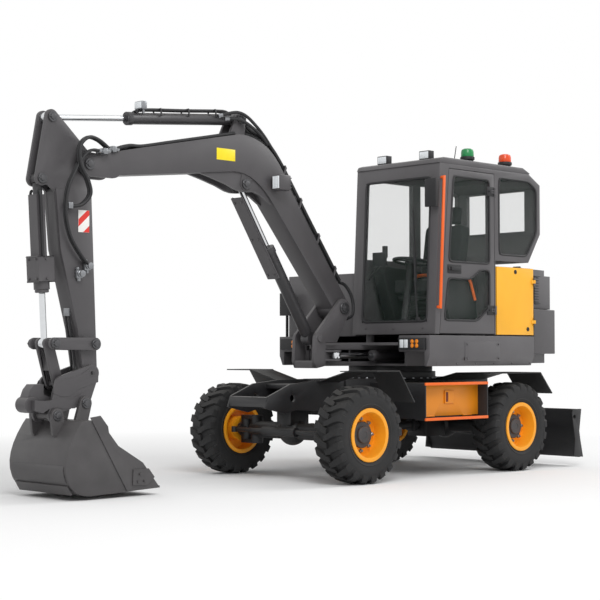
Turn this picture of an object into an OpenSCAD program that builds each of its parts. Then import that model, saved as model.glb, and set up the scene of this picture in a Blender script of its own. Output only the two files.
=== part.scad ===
// Compact wheeled excavator with a swing boom, quick coupler, bucket and rear dozer blade.
// X points forward, Y to the machine's left and Z up. Lengths are millimetres.
// The sizes below are taken from the slewing axis at ground level.

/* [Wheels] */
// Outside diameter of a tyre over its lugs
tyre_d = 840; // [800:5:880]
// Width of a tyre
tyre_w = 305; // [290:1:320]
// Diameter of the rim's bead seat
rim_d = 420; // [400:5:440]
// Width of the rim over its flanges
rim_w = 284; // [260:2:288]
// Height of a rim flange above the bead seat
flange_h = 20; // [12:1:30]
// Depth of the tread lugs
lug_h = 26; // [16:1:34]
// Distance between the wheel middles of one axle
track = 1622; // [1600:2:1640]
// Distance between the two axles
wheelbase = 2100; // [2060:5:2140]
// Distance of the rear axle behind the slewing axis
rear_axle_back = 800; // [780:5:820]
// Distance from a kingpin out to its wheel's middle
kingpin_inset = 205; // [195:1:215]
// Radius of a wheel spindle
spindle_r = 55; // [45:1:65]
// Radius of a wheel hub
hub_r = 112; // [95:1:125]

/* [Undercarriage] */
// Width of the main chassis box
frame_w = 560; // [520:5:600]
// Height of the chassis deck above the ground
frame_top = 880; // [870:2:890]
// Height of the chassis belly above the ground
frame_low = 570; // [560:2:600]
// Distance of the chassis tail behind the slewing axis
frame_back = 1130; // [1110:5:1150]
// Distance of the chassis box's front ahead of the slewing axis
frame_front = 900; // [880:5:920]
// Width of the front horn
horn_w = 500; // [470:5:520]
// Distance of the horn's nose ahead of the front axle
horn_reach = 570; // [540:5:590]
// Wall thickness of the horn's plates
horn_t = 25; // [16:1:32]
// Radius of the axle tubes
axle_r = 75; // [65:1:85]
// Radius of the differential housing
diff_r = 128; // [115:1:135]
// Thickness of fender and step sheet
sheet_t = 10; // [6:1:14]
// Height of the front fenders' top
front_fender_z = 967; // [955:1:975]
// Height of the rear fenders' top
rear_fender_z = 935; // [925:1:955]
// Half width of the machine at fenders, skirts and blade
half_w = 970; // [960:1:980]
// Radius of the slewing ring
ring_r = 430; // [400:5:450]

/* [Steps] */
// Front end of the step boxes ahead of the slewing axis
step_front = 584; // [560:2:600]
// Rear end of the step boxes behind the slewing axis
step_back = 298; // [280:2:310]
// Height of the lower tread
step_low = 520; // [500:2:535]
// Height of the upper tread
step_top = 850; // [840:2:870]
// Depth of the treads in front of the boxes
tread_d = 120; // [90:2:140]

/* [Blade] */
// Height of the blade plate
blade_h = 476; // [440:2:500]
// Ground clearance of the raised blade
blade_gap = 88; // [80:1:110]
// Distance of the blade's back behind the slewing axis
blade_back = 1770; // [1750:2:1790]
// Distance of the blade's hinge behind the slewing axis
blade_pivot_back = 1010; // [1000:2:1030]
// Height of the blade's hinge
blade_pivot_z = 400; // [380:2:420]

/* [Upper structure] */
// Height of the revolving frame's underside
deck_z = 1000; // [995:1:1010]
// Height of the cab floor and the panels' lower edge
sill_z = 1285; // [1275:1:1295]
// Front face of the skirts ahead of the slewing axis
skirt_front = 547; // [535:1:560]
// Height of the rear bodywork's top
body_top = 1930; // [1900:5:1950]
// Tail swing radius
tail_r = 1690; // [1660:5:1720]
// Height of the counterweight's top
weight_top = 1540; // [1500:5:1580]
// Wall thickness of hoods and covers
hood_t = 24; // [16:1:32]

/* [Cab] */
// Outer width of the cab
cab_w = 1020; // [990:5:1040]
// Height of the cab's eaves
cab_top = 2830; // [2800:5:2860]
// Front of the cab at its sill, ahead of the slewing axis
cab_front = 475; // [460:1:490]
// Amount by which the windscreen leans back over its height
screen_lean = 75; // [50:1:95]
// Rear of the cab's upper part behind the slewing axis
cab_back = 1080; // [1060:2:1100]
// Rear edge of the door behind the slewing axis
door_back = 372; // [360:1:380]
// Thickness of the cab's walls and door
cab_t = 48; // [40:1:56]
// Height of the belt line between the windows
belt_z = 1980; // [1950:5:2010]
// Thickness of the roof panel
roof_t = 55; // [45:1:65]
// Thickness of the window panes
glass_t = 6; // [4:1:8]

/* [Boom] */
// Distance of the boom's foot pin ahead of the slewing axis
foot_x = 793; // [780:1:805]
// Height of the boom's foot pin
foot_z = 1529; // [1515:1:1545]
// Distance between the boom's two pins
boom_len = 3033; // [2980:5:3080]
// Width of the boom
boom_w = 210; // [196:1:214]
// Width of the gap in the boom's fork
fork_gap = 140; // [132:1:146]
// Radius of the boom's pins
pin_r = 34; // [28:1:38]
// Swing axis ahead of the slewing axis
swing_x = 945; // [940:1:955]
// Thickness of the swing post's cheeks
cheek_t = 35; // [28:1:42]

/* [Arm and bucket] */
// Distance between the arm's two pins
arm_len = 1646; // [1610:5:1680]
// Width of the arm's box
arm_w = 170; // [150:2:180]
// Thickness of the arm's ear plates
ear_t = 24; // [18:1:28]
// Width of the bucket
bucket_w = 760; // [700:5:800]
// Thickness of the bucket's shell
bucket_t = 16; // [10:1:22]
// Height of the bucket above the ground
bucket_gap = 30; // [20:1:40]

/* [Cylinders] */
// Radius of the boom cylinder's barrel
boom_cyl_r = 55; // [48:1:60]
// Radius of the arm cylinder's barrel
arm_cyl_r = 48; // [42:1:54]
// Radius of the swing cylinder's barrel
swing_cyl_r = 44; // [38:1:48]
// Radius of the blade cylinder's barrel
blade_cyl_r = 42; // [38:1:48]
// Radius of the piston rods
rod_r = 25; // [20:1:28]

/* [Fits] */
// Radial clearance of a pin in its bore
fit = 0.1; // [0.05:0.05:0.2]
// Gap between faces that slide on each other
seat = 0.3; // [0.2:0.1:0.6]
// Clearance between pieces that move past each other
clear = 6; // [5:1:8]

/* [Hidden] */
$fn = 48;

// Colours of the paint and of the bare materials
grey = [0.27, 0.27, 0.28];
dark = [0.13, 0.13, 0.14];
yellow = [0.96, 0.68, 0.16];
orange = [0.90, 0.45, 0.15];
rubber = [0.10, 0.10, 0.10];
chrome = [0.80, 0.81, 0.83];
pane = [0.45, 0.55, 0.52, 0.4];

// Wheel places
wheel_z = tyre_d / 2;
front_x = wheelbase - rear_axle_back;
rear_x = -rear_axle_back;
kingpin_y = track / 2 - kingpin_inset;

// Steering: the arm ahead of each kingpin that the rod moves
steer_arm = 160;
steer_rod_r = 20;
steer_eye_r = 28;

// Vector helpers on [x, z] points
function unit(v) = v / norm(v);
function left_of(v) = [-v.y, v.x];
function turn(p, a) = [p.x * cos(a) - p.y * sin(a), p.x * sin(a) + p.y * cos(a)];
function heading(p, q) = atan2(q.y - p.y, q.x - p.x);
function along(p, q, d) = p + d * unit(q - p);
function arc(c, r, a0, a1, n = 8) = [for (i = [0:n]) c + r * [cos(a0 + (a1 - a0) * i / n),
    sin(a0 + (a1 - a0) * i / n)]];
function bend(p, c, q,
    n = 8) = [for (i = [0:n]) let (t = i / n) (1 - t) * (1 - t) * p + 2 * t * (1 - t) * c + t * t * q];
// Moves every edge of an anticlockwise outline inwards by d
function inset(p, d) = let (n = len(p)) [
    for (i = [0:n - 1])
        let (u = left_of(unit(p[i] - p[(i + n - 1) % n])), v = left_of(unit(p[(i + 1) % n] - p[i])))
            p[i] + d * (u + v) / (1 + u * v)
];

// Pins of the working gear, as [x, z] at rest
bucket_pin_h = 932;
arm_lean = -1.1;
foot = [foot_x, foot_z];
tip_z = bucket_gap + bucket_pin_h + arm_len * cos(arm_lean);
boom_angle = asin((tip_z - foot_z) / boom_len);
tip = foot + boom_len * [cos(boom_angle), sin(boom_angle)];
wrist = tip + arm_len * [sin(arm_lean), -cos(arm_lean)];
function on_boom(u, v) = foot + turn([u, v], boom_angle);
function on_arm(u, v) = tip + turn([u, v], arm_lean);
function on_wrist(u, v) = wrist + [u, v];
boom_cyl_top = on_boom(1461, 570);
boom_cyl_foot = [swing_x + 155, 1250];
arm_cyl_foot = on_boom(1702, 1083);
arm_cyl_eye = on_arm(319, 349);
bucket_cyl_top = on_arm(418, -134);
rocker_pin = on_wrist(-15, 228);
rocker_eye = on_wrist(371, 231);
link_pin = on_wrist(279, -80);
hook_front = on_wrist(83, -234);
hook_back = on_wrist(349, -322);

// Half the box length, which puts the origin under the middle
ear_r = 58;
box_mid = (bucket_cyl_top.x + ear_r - blade_back) / 2;

module at_origin() {
    translate([-box_mid, 0, 0]) children();
}

// An [x, z] outline made t thick from y on towards +Y
module slab(y, t) {
    translate([0, y + t, 0]) rotate([90, 0, 0]) linear_extrude(t) children();
}

// An [x, z] outline of width w about the middle plane
module mid_slab(w) {
    slab(-w / 2, w) children();
}

// The same slab on both sides of the middle plane, y being its inner face
module pair_slab(y, t) {
    slab(y, t) children();
    slab(-y - t, t) children();
}

// A round bar along Y at the point p = [x, z]
module cross_bar(p, r, y, l) {
    translate([p.x, y, p.y]) rotate([-90, 0, 0]) cylinder(r = r, h = l);
}

module cross_pin(p, r, l) {
    cross_bar(p, r, -l / 2, l);
}

// A block from corner to corner
module block(a, b) {
    translate(a) cube(b - a);
}

// A round bar from p to q, as [x, z], at the height y across
module rod_between(p, q, r, y = 0) {
    translate([p.x, y, p.y]) rotate([0, 90 - heading(p, q), 0]) cylinder(r = r, h = norm(q - p));
}

// Mirrors a left-hand piece to the right as well
module both_sides() {
    children();
    mirror([0, 1, 0]) children();
}

// Two circles joined by a web along their outer tangents, laid a hair inside them
web_in = 0.3;

module web2d(p, rp, q, rq) {
    t = unit(q - p);
    lean = asin((rp - rq) / norm(q - p));
    up = cos(lean) * left_of(t) + sin(lean) * t;
    down = -cos(lean) * left_of(t) + sin(lean) * t;
    translate(p) circle(rp);
    translate(q) circle(rq);
    polygon([p + (rp - web_in) * up, p + (rp - web_in) * down, q + (rq - web_in) * down,
        q + (rq - web_in) * up]);
}

// Hydraulic cylinders: the barrel from its foot pin, and the rod in its bore
module barrel(foot_p, eye_p, length, r, eye_w, bore_r = 0) {
    head = along(foot_p, eye_p, length);
    difference() {
        union() {
            cross_pin(foot_p, r + 4, eye_w);
            rod_between(along(foot_p, eye_p, r), head, r);
            rod_between(along(foot_p, eye_p, length - r), head, r + 7);
        }
        rod_between(along(foot_p, eye_p, r + 10), along(foot_p, eye_p, length + 1), rod_r + fit);
        if (bore_r > 0) cross_pin(foot_p, bore_r + fit, eye_w + 2);
    }
}

module piston_rod(foot_p, eye_p, start, eye_r, eye_w, bore_r = 0) {
    difference() {
        union() {
            rod_between(along(foot_p, eye_p, start), along(eye_p, foot_p, eye_r / 2), rod_r);
            cross_pin(eye_p, eye_r, eye_w);
        }
        if (bore_r > 0) cross_pin(eye_p, bore_r + fit, eye_w + 2);
    }
}

// Upright hinge: two fixed knuckles with their pin, and the turning knuckle between them
hinge_r = 11;
hinge_pin_r = 6;
hinge_h = 32;
knuckle_h = 24;
knuckle_z = hinge_h / 2 + seat;

module hinge_pair(axis, z, leaf) {
    for (low = [z - knuckle_z - knuckle_h, z + knuckle_z]) {
        translate([axis.x, axis.y, low]) cylinder(r = hinge_r, h = knuckle_h);
        translate([axis.x, axis.y - hinge_r - 1, low]) translate([-leaf, 0, 0])
            cube([leaf, hinge_r + 1, knuckle_h]);
    }
    translate([axis.x, axis.y, z - knuckle_z - 2]) cylinder(r = hinge_pin_r, h = hinge_h + 5);
}

module hinge_turn(axis, z, leaf) {
    translate([axis.x, axis.y, z - hinge_h / 2]) cylinder(r = hinge_r, h = hinge_h);
    translate([axis.x, axis.y - hinge_r - 1, z - hinge_h / 2]) cube([leaf, hinge_r + 1, hinge_h]);
}

module hinge_bore(axis, z) {
    translate([axis.x, axis.y, z - hinge_h]) cylinder(r = hinge_pin_r + fit, h = 2 * hinge_h);
}

// Undercarriage
saddle_z = frame_low + 50;
horn_nose = front_x + horn_reach;
horn_inner = horn_w / 2 - horn_t;
tie_hole_r = 32;
tie_hole = [horn_nose - 330, 724];
function horn_outline() = [
    [frame_front - 60, frame_low],
    [front_x + 200, saddle_z],
    [horn_nose - 240, 590],
    [horn_nose, 643],
    [horn_nose - 40, 743],
    [front_x + 269, 845],
    [front_x - 29, 874],
    [frame_front - 60, frame_top]
];

module chassis_frame() {
    color(dark) at_origin() difference() {
        union() {
            block([-frame_back, -frame_w / 2, frame_low], [frame_front, frame_w / 2, frame_top]);
            pair_slab(horn_inner, horn_t) polygon(horn_outline());
            block([frame_front - 60, -horn_inner, saddle_z], [front_x + 180, horn_inner, saddle_z + 40]);
            block([frame_front - 60, -horn_inner, 800], [front_x + 120, horn_inner, 840]);
            mid_slab(horn_w - horn_t) polygon([
                [horn_nose - 45, 660], [horn_nose - 12, 650], [horn_nose - 25, 735],
                    [horn_nose - 60, 740]]);
            blade_lugs();
        }
        cross_pin(tie_hole, tie_hole_r, horn_w + 2);
        blade_pin_bores();
    }
}

// Lugs under the tail that carry the blade's arms and its cylinder
blade_arm_y = 300;
blade_lug_t = 30;
blade_pivot = [-blade_pivot_back, blade_pivot_z];
blade_cyl_foot = [-frame_back - 60, frame_top - 30];
blade_cyl_eye = blade_pivot + [-260, 20];

module blade_lugs() {
    both_sides() slab(blade_arm_y - clear - blade_lug_t - 20, blade_lug_t) union() {
        web2d(blade_pivot, 55, blade_pivot + [30, 220], 90);
    }
    pair_slab(40 + clear, 25) web2d(blade_cyl_foot, 50, blade_cyl_foot + [110, 0], 50);
    cross_pin(blade_cyl_foot, pin_r - 8, 2 * (40 + clear + 25) + 10);
}

module blade_pin_bores() {
    cross_pin(blade_pivot, pin_r + fit, frame_w + 200);
}

// Front axle: beam, differential, saddle and the forks that hold the knuckles
fork_y = 100;
yoke_r = 58;
yoke_gap = 190;
yoke_t = 32;

module front_axle() {
    beam_end = kingpin_y - fork_y;
    color(dark) at_origin() difference() {
        union() {
            translate([front_x, 0, wheel_z]) sphere(diff_r);
            cross_pin([front_x, wheel_z], axle_r, 2 * beam_end);
            block([front_x - 110, -90, wheel_z + 60], [front_x + 110, 90, saddle_z]);
            both_sides() yoke();
            cross_pin([front_x + steer_arm, wheel_z], steer_rod_r + 22, 420);
            both_sides() block([front_x + 40, 100, wheel_z - 20], [front_x + steer_arm, 190, wheel_z + 20]);
        }
        cross_pin([front_x + steer_arm, wheel_z], steer_rod_r + fit, 422);
    }
}

module yoke() {
    arm_z = yoke_gap / 2;
    difference() {
        union() {
            for (z = [wheel_z - arm_z - yoke_t, wheel_z + arm_z])
                translate([front_x, kingpin_y, z]) linear_extrude(yoke_t) union() {
                    circle(yoke_r);
                    translate([-yoke_r, -fork_y - 30]) square([2 * yoke_r, fork_y + 30]);
                }
            translate([front_x, kingpin_y - fork_y - 30, wheel_z - arm_z - yoke_t])
                cylinder(r = yoke_r, h = yoke_gap + 2 * yoke_t);
        }
        translate([front_x, kingpin_y, 0]) cylinder(r = pin_r + fit, h = 2 * wheel_z);
    }
}

module rear_axle() {
    color(dark) at_origin() union() {
        translate([rear_x, 0, wheel_z]) sphere(diff_r + 10);
        cross_pin([rear_x, wheel_z], axle_r + 5, track - 2 * (rim_w / 2 + 20));
        cross_pin([rear_x, wheel_z], spindle_r, track - 2 * spindle_back);
        both_sides() block([rear_x - 90, frame_w / 2 - 130, wheel_z + 40],
            [rear_x + 90, frame_w / 2 - 10, frame_low]);
    }
}

// Shaft from the gearbox on the rear axle to the front axle
module drive_shaft() {
    box_front = rear_x + 420;
    color(dark) at_origin() union() {
        block([rear_x + diff_r + 14, -120, wheel_z - 110], [box_front, 120, wheel_z + 110]);
        block([rear_x + 200, -90, wheel_z + 90], [box_front - 60, 90, frame_low]);
        rod_between([box_front - 10, wheel_z], [front_x - diff_r - seat, wheel_z], 38);
        for (x = [box_front + 40, front_x - diff_r - 130])
            rod_between([x, wheel_z], [x + 70, wheel_z], 62);
    }
}

module slew_ring() {
    color(dark) at_origin() difference() {
        union() {
            translate([0, 0, frame_top]) cylinder(r = ring_r, h = (deck_z - frame_top) * 0.55);
            translate([0, 0, frame_top]) cylinder(r = ring_r - 30, h = deck_z - seat - frame_top);
        }
        translate([0, 0, frame_top - 1]) cylinder(r = ring_r - 110, h = deck_z - frame_top + 2);
    }
}

// Fenders: a flat sheet over the wheel, a sloping skirt behind it and a folded bracket to the frame
module fenders() {
    color(dark) at_origin() both_sides() {
        fender(front_x - 66, front_x - 355, front_x - 546, front_fender_z, 284, 640, horn_w / 2, 866);
        fender(rear_x + 498, rear_x - 279, rear_x - 459, rear_fender_z, 210, 560, frame_w / 2,
            frame_top - 14);
    }
}

module fender(x0, x1, x2, top, drop, y_in, y_frame, z_frame) {
    slab(y_in, half_w - y_in) polygon([
        [x0, top - sheet_t], [x1 + 3, top - sheet_t], [x2, top - drop],
        [x2 - sheet_t, top - drop + 6], [x1 - 3, top], [x0, top]]);
    translate([min(x0, x1 + 15), 0, 0]) rotate([90, 0, 90]) linear_extrude(abs(x1 + 15 - x0))
        polygon([[y_frame, z_frame - sheet_t], [y_in + 1, top - sheet_t], [y_in + 1, top],
            [y_frame, z_frame]]);
}

// Step boxes: toolbox on the left, tank on the right, each with two treads and end plates
box_y = half_w - 20 - tread_d;
lid_gap = clear;
lid_t = 14;

module step_boxes() {
    color(dark) at_origin() difference() {
        both_sides() {
            block([-step_back, frame_w / 2, step_low + 10], [step_front, box_y, step_top]);
            for (z = [step_low, step_top - 17])
                block([-step_back, box_y - 5, z], [step_front, box_y + tread_d, z + 17]);
            for (x = [-step_back, step_front - 12])
                block([x, box_y - 5, step_low], [x + 12, box_y + tread_d, step_top]);
        }
        block([-step_back + 40, box_y - 260, step_low + 45], [step_front - 40, box_y + 1, step_top - 45]);
    }
}

// Lid of the left toolbox, hinged along its lower edge
lid_hinge_r = 7;
lid_axis = [box_y + lid_t + 2, step_low + 17 + lid_gap + lid_hinge_r];

module toolbox_lid() {
    color(yellow) at_origin() union() {
        block([-step_back + 12 + lid_gap, box_y + seat, lid_axis.y],
            [step_front - 12 - lid_gap, box_y + lid_t, step_top - 17 - lid_gap]);
        translate([(step_front - step_back) / 2 - 60, box_y + lid_t - 2, step_top - 110])
            cube([120, 14, 36]);
        for (x = [-step_back + 120, step_front - 240])
            translate([x, lid_axis.x, lid_axis.y]) rotate([0, 90, 0]) cylinder(r = lid_hinge_r, h = 120);
    }
}

// Steering rod that runs through the cylinder on the axle, from one steering arm to the other
module steering_rod() {
    color(chrome) at_origin() cross_pin([front_x + steer_arm, wheel_z], steer_rod_r,
        2 * (kingpin_y - steer_eye_r - 2 * clear));
}

module knuckle_left() {
    color(dark) at_origin() knuckle();
}

module knuckle_right() {
    color(dark) at_origin() mirror([0, 1, 0]) knuckle();
}

spindle_back = 30;

module knuckle() {
    boss_h = yoke_gap - 2 * seat;
    union() {
        translate([front_x, kingpin_y, wheel_z - boss_h / 2]) cylinder(r = yoke_r, h = boss_h);
        translate([front_x, kingpin_y, wheel_z - yoke_gap / 2 - yoke_t])
            cylinder(r = pin_r, h = yoke_gap + 2 * yoke_t);
        cross_bar([front_x, wheel_z], spindle_r, kingpin_y, kingpin_inset - spindle_back);
        cross_bar([front_x, wheel_z], axle_r + 5, kingpin_y + 10, kingpin_inset - rim_w / 2 - 30);
        translate([front_x, kingpin_y, wheel_z - 25]) linear_extrude(50)
            web2d([0, 0], 36, [steer_arm, 0], steer_eye_r);
    }
}

// Wheels, made about the Y axis with the outer side towards +Y
tread_r = tyre_d / 2;
seat_r = rim_d / 2;
bead_w = rim_w - 28;

module wheel_at(x, side) {
    translate([x, side * track / 2, wheel_z]) mirror([0, side < 0 ? 1 : 0, 0]) rotate([-90, 0, 0])
        children();
}

module rim_shape() {
    rotate_extrude($fn = 64) difference() {
        union() {
            translate([seat_r - 16, -rim_w / 2]) square([16, rim_w]);
            for (s = [-1, 1]) translate([seat_r - 16, s * (rim_w / 2 - 7) - 7]) square([16 + flange_h, 14]);
            polygon([[hub_r - 5, 5], [seat_r - 40, -15], [seat_r - 10, -15], [seat_r - 10, 5],
                [seat_r - 34, 7], [hub_r - 5, 30]]);
            translate([0, -rim_w / 2 + 20]) square([hub_r, rim_w / 2 + 30]);
            translate([0, 45]) square([hub_r * 0.62, 26]);
        }
        translate([-1, -rim_w]) square([spindle_r + fit + 1, rim_w - spindle_back + 2]);
    }
}

module tyre_shape() {
    wall_r = seat_r + flange_h;
    half = tyre_w / 2;
    shoulder = tread_r - lug_h;
    rotate_extrude($fn = 64) polygon(concat(
        [[seat_r, -bead_w / 2], [seat_r, bead_w / 2], [wall_r + 8, bead_w / 2 - 2]],
        bend([wall_r + 16, bead_w / 2 + 6], [(wall_r + shoulder) / 2, half + 8], [shoulder, half - 8], 6),
        [[tread_r - 6, half - 28], [tread_r, half - 60], [tread_r, 60 - half], [tread_r - 6, 28 - half]],
        bend([shoulder, 8 - half], [(wall_r + shoulder) / 2, -half - 8], [wall_r + 16, -bead_w / 2 - 6], 6),
        [[wall_r + 8, 2 - bead_w / 2]]));
}

module tyre(x, side) {
    color(rubber) at_origin() wheel_at(x, side) tyre_shape();
}

module rim(x, side) {
    color(yellow) at_origin() wheel_at(x, side) rim_shape();
}

module tyre_front_left() { tyre(front_x, 1); }
module tyre_front_right() { tyre(front_x, -1); }
module tyre_rear_left() { tyre(rear_x, 1); }
module tyre_rear_right() { tyre(rear_x, -1); }
module rim_front_left() { rim(front_x, 1); }
module rim_front_right() { rim(front_x, -1); }
module rim_rear_left() { rim(rear_x, 1); }
module rim_rear_right() { rim(rear_x, -1); }

// Dozer blade: curved plate, waisted end plates with a tie-down hole, arms and pins
blade_t = 18;
blade_end_t = 20;
blade_low = blade_gap;
blade_high = blade_gap + blade_h;
blade_face = -blade_back + 130;
blade_hole = [-blade_back + 142, blade_high - 75];
blade_hole_r = 22;
blade_arm_t = 40;

module blade() {
    mid_z = (blade_low + blade_high) / 2;
    color(dark) at_origin() union() {
        mid_slab(2 * half_w - 2) polygon(concat(
            bend([blade_face - 70, blade_low], [blade_face + 40, mid_z], [blade_face - 50, blade_high]),
            bend([blade_face - 50 - blade_t, blade_high], [blade_face + 40 - blade_t, mid_z],
                [blade_face - 70 - blade_t, blade_low])));
        pair_slab(half_w - blade_end_t, blade_end_t) difference() {
            polygon([
                [-blade_back, blade_low], [-blade_back + 150, blade_low + 20],
                    [-blade_back + 130, mid_z - 60],
                [-blade_back + 183, blade_high - 40], [-blade_back + 165, blade_high],
                    [-blade_back + 25, blade_high],
                [-blade_back + 60, mid_z + 20], [-blade_back + 45, mid_z - 60]]);
            translate(blade_hole) circle(blade_hole_r);
        }
        pair_slab(blade_arm_y - blade_arm_t / 2, blade_arm_t)
            web2d(blade_pivot, 55, [blade_face - 15, mid_z + 10], 70);
        for (s = [-1, 1]) cross_bar(blade_pivot, pin_r, s * (blade_arm_y - 28) - 32, 64);
        pair_slab(50 + clear, 22) web2d(blade_cyl_eye, 45, [blade_face - 20, mid_z], 60);
        mid_slab(2 * blade_arm_y) translate([blade_face - 40, mid_z]) square([45, 90], center = true);
    }
}

blade_cyl_len = 265;

module blade_barrel() {
    color(dark) at_origin() barrel(blade_cyl_foot, blade_cyl_eye, blade_cyl_len, blade_cyl_r, 80,
        pin_r - 8);
}

module blade_rod() {
    color(chrome) at_origin() piston_rod(blade_cyl_foot, blade_cyl_eye, blade_cyl_len - 93, 32, 100);
}

// Revolving frame: base plate on the slewing ring, webs, deck, and the nose plates that hold the post
plate_t = 20;
deck_top = sill_z - 70;
nose_w = 200;
nose_gap_low = deck_z + 2 * plate_t;
nose_gap_high = deck_top - 65;
post_h = nose_gap_high - nose_gap_low;
post_z = (nose_gap_low + nose_gap_high) / 2;
king_r = 45;
king_end_r = 100;
frame_x0 = -980;
nose_x = 560;
web_y = 150;
skirt_in = half_w - 65;
swing_foot = [20, web_y + 110];
swing_eye = [swing_x + 20, 220];
swing_eye_w = 52;

module nose_plan() {
    translate([swing_x, 0]) circle(king_end_r);
    polygon([[swing_x, -nose_w / 2], [swing_x, nose_w / 2], [nose_x, nose_w / 2],
        [nose_x - 160, web_y + plate_t],
        [0, web_y + plate_t], [0, -web_y - plate_t], [nose_x - 160, -web_y - plate_t],
            [nose_x, -nose_w / 2]]);
}

module upper_frame() {
    color(dark) at_origin() union() {
        translate([0, 0, deck_z]) linear_extrude(2 * plate_t) nose_plan();
        translate([0, 0, nose_gap_high]) linear_extrude(2 * plate_t) nose_plan();
        block([frame_x0, -560, deck_z], [nose_x - 160, 560, deck_z + plate_t]);
        block([frame_x0, -skirt_in, deck_top - 25], [skirt_front - 17, skirt_in, deck_top]);
        both_sides() block([frame_x0, web_y, deck_z], [nose_x - 160, web_y + plate_t, deck_top]);
        both_sides() block([frame_x0, 540, deck_z], [nose_x - 160, 560, deck_top]);
        translate([swing_x, 0, deck_z]) cylinder(r = king_r, h = nose_gap_high + 2 * plate_t + 15 - deck_z);
        for (z = [post_z - swing_eye_w / 2 - clear - 18, post_z + swing_eye_w / 2 + clear])
            translate([0, 0, z]) linear_extrude(18) web2d(swing_foot, 36, [swing_foot.x - 20, web_y], 50);
        translate([swing_foot.x, swing_foot.y, post_z])
            cylinder(r = pin_r - 10, h = swing_eye_w + 2 * clear + 36, center = true);
        for (x = [cab_front - 120, -door_back + 60], y = [cab_left - 120, cab_right + 120])
            translate([x, y, deck_top - 5]) cylinder(r = 40, h = sill_z - deck_top + 10);
    }
}

// Skirts along both sides, with a tucked lower edge and a front panel for the lamps
module side_skirts() {
    tuck = 90;
    color(grey) at_origin() both_sides() {
        translate([frame_x0, 0, 0]) rotate([90, 0, 90]) linear_extrude(skirt_front - frame_x0) polygon([
            [skirt_in, deck_z], [half_w - 40, deck_z], [half_w, deck_z + tuck], [half_w, sill_z - 8],
            [half_w - 25, sill_z - 8], [half_w - 25, deck_top], [skirt_in, deck_top]]);
        block([skirt_front - 17, 600, deck_top - 85], [skirt_front, half_w - 24, sill_z - 8]);
    }
}

// Counterweight, rounded to the tail swing
tail_span = 31;

module tail_plan(r, x_front, y_front) {
    polygon(concat([[x_front, y_front]], arc([0, 0], r, 180 - tail_span, 180 + tail_span, 16),
        [[x_front, -y_front]]));
}

module counterweight() {
    color(grey) at_origin() difference() {
        union() {
            translate([0, 0, deck_z + 110]) linear_extrude(weight_top - deck_z - 110)
                tail_plan(tail_r, frame_x0, half_w);
            translate([0, 0, deck_z + 20]) linear_extrude(100)
                tail_plan(tail_r - 110, frame_x0, half_w - 60);
        }
        translate([0, 0, deck_z + 260]) linear_extrude(weight_top)
            tail_plan(tail_r - 220, frame_x0 - 30, half_w - 200);
    }
}

// Engine with its fan shroud, one block inside the tail
module engine_block() {
    color(dark) at_origin() union() {
        block([frame_x0 - 350, -330, deck_z + 260], [frame_x0 - 60, 330, body_top - 160]);
        block([frame_x0 - 280, -520, deck_z + 330], [frame_x0 - 120, 330, body_top - 220]);
    }
}

// Hood over the engine, hinged at its front upper edge
hood_front = frame_x0 - 20;
hood_axis = [hood_front, body_top + 18];
hood_hinges = [150, half_w - 220];

module engine_hood() {
    color(grey) at_origin() difference() {
        union() {
            translate([0, 0, weight_top + clear]) linear_extrude(body_top - weight_top - clear - 60)
                tail_plan(tail_r - 50, hood_front, half_w - 60);
            translate([0, 0, body_top - 61]) linear_extrude(61)
                tail_plan(tail_r - 110, hood_front, half_w - 90);
            for (y = hood_hinges) {
                cross_bar(hood_axis, hinge_r, y - hinge_h / 2, hinge_h);
                block([hood_axis.x - 60, y - hinge_h / 2, body_top - 1],
                    [hood_axis.x, y + hinge_h / 2, hood_axis.y]);
            }
        }
        for (y = hood_hinges) cross_bar(hood_axis, hinge_pin_r + fit, y - hinge_h, 2 * hinge_h);
        translate([0, 0, weight_top]) linear_extrude(body_top - weight_top - hood_t)
            tail_plan(tail_r - 110 - hood_t, hood_front + 1, half_w - 90 - hood_t);
    }
}

// Service door in the left flank behind the cab door, hinged at its rear edge
service_front = -door_back - 32;
service_back = frame_x0 + 5;
service_axis = [service_back, half_w + hinge_r];
service_hinges = [sill_z + 130, body_top - 130];

module service_door() {
    color(yellow) at_origin() difference() {
        union() {
            block([service_back + clear, half_w - 32, sill_z + 5],
                [service_front - clear, half_w, body_top - 5]);
            for (z = service_hinges) hinge_turn(service_axis, z, 40);
        }
        for (z = service_hinges) hinge_bore(service_axis, z);
    }
}

// Fixed bodywork: tank cover on the right and the deck behind the cab
cab_left = half_w;
cab_right = half_w - cab_w;
cover_top = body_top - 60;
cover_front = skirt_front - 130;
cover_left = cab_right - 12;

module body_cover() {
    low = sill_z - 8;
    rear = service_front - clear;
    color(yellow) at_origin() union() {
        difference() {
            union() {
                block([frame_x0, -half_w, low], [cover_front, cover_left, cover_top]);
                block([frame_x0, cover_left - 1, low], [rear, half_w - 40, body_top]);
            }
            block([frame_x0 + hood_t, -half_w + hood_t, low - 1],
                [cover_front - hood_t, cover_left - hood_t, cover_top - hood_t]);
            block([frame_x0 + hood_t, cover_left - 60, low - 1],
                [rear - hood_t, half_w - 40 - hood_t, body_top - hood_t]);
        }
        for (z = service_hinges) {
            hinge_pair(service_axis, z, 4);
            for (k = [z - knuckle_z - knuckle_h, z + knuckle_z])
                block([service_back - 4, half_w - 41, k],
                    [service_back + 4, service_axis.y, k + knuckle_h]);
        }
        for (y = hood_hinges) {
            for (k = [y - knuckle_z - knuckle_h, y + knuckle_z]) {
                cross_bar(hood_axis, hinge_r, k, knuckle_h);
                block([hood_axis.x, k, body_top + 8], [frame_x0 + 40, k + knuckle_h, hood_axis.y]);
                block([frame_x0 + 4, k, body_top - 1], [frame_x0 + 40, k + knuckle_h, hood_axis.y]);
            }
            cross_bar(hood_axis, hinge_pin_r, y - knuckle_z - 2, hinge_h + 5);
        }
    }
}

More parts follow.
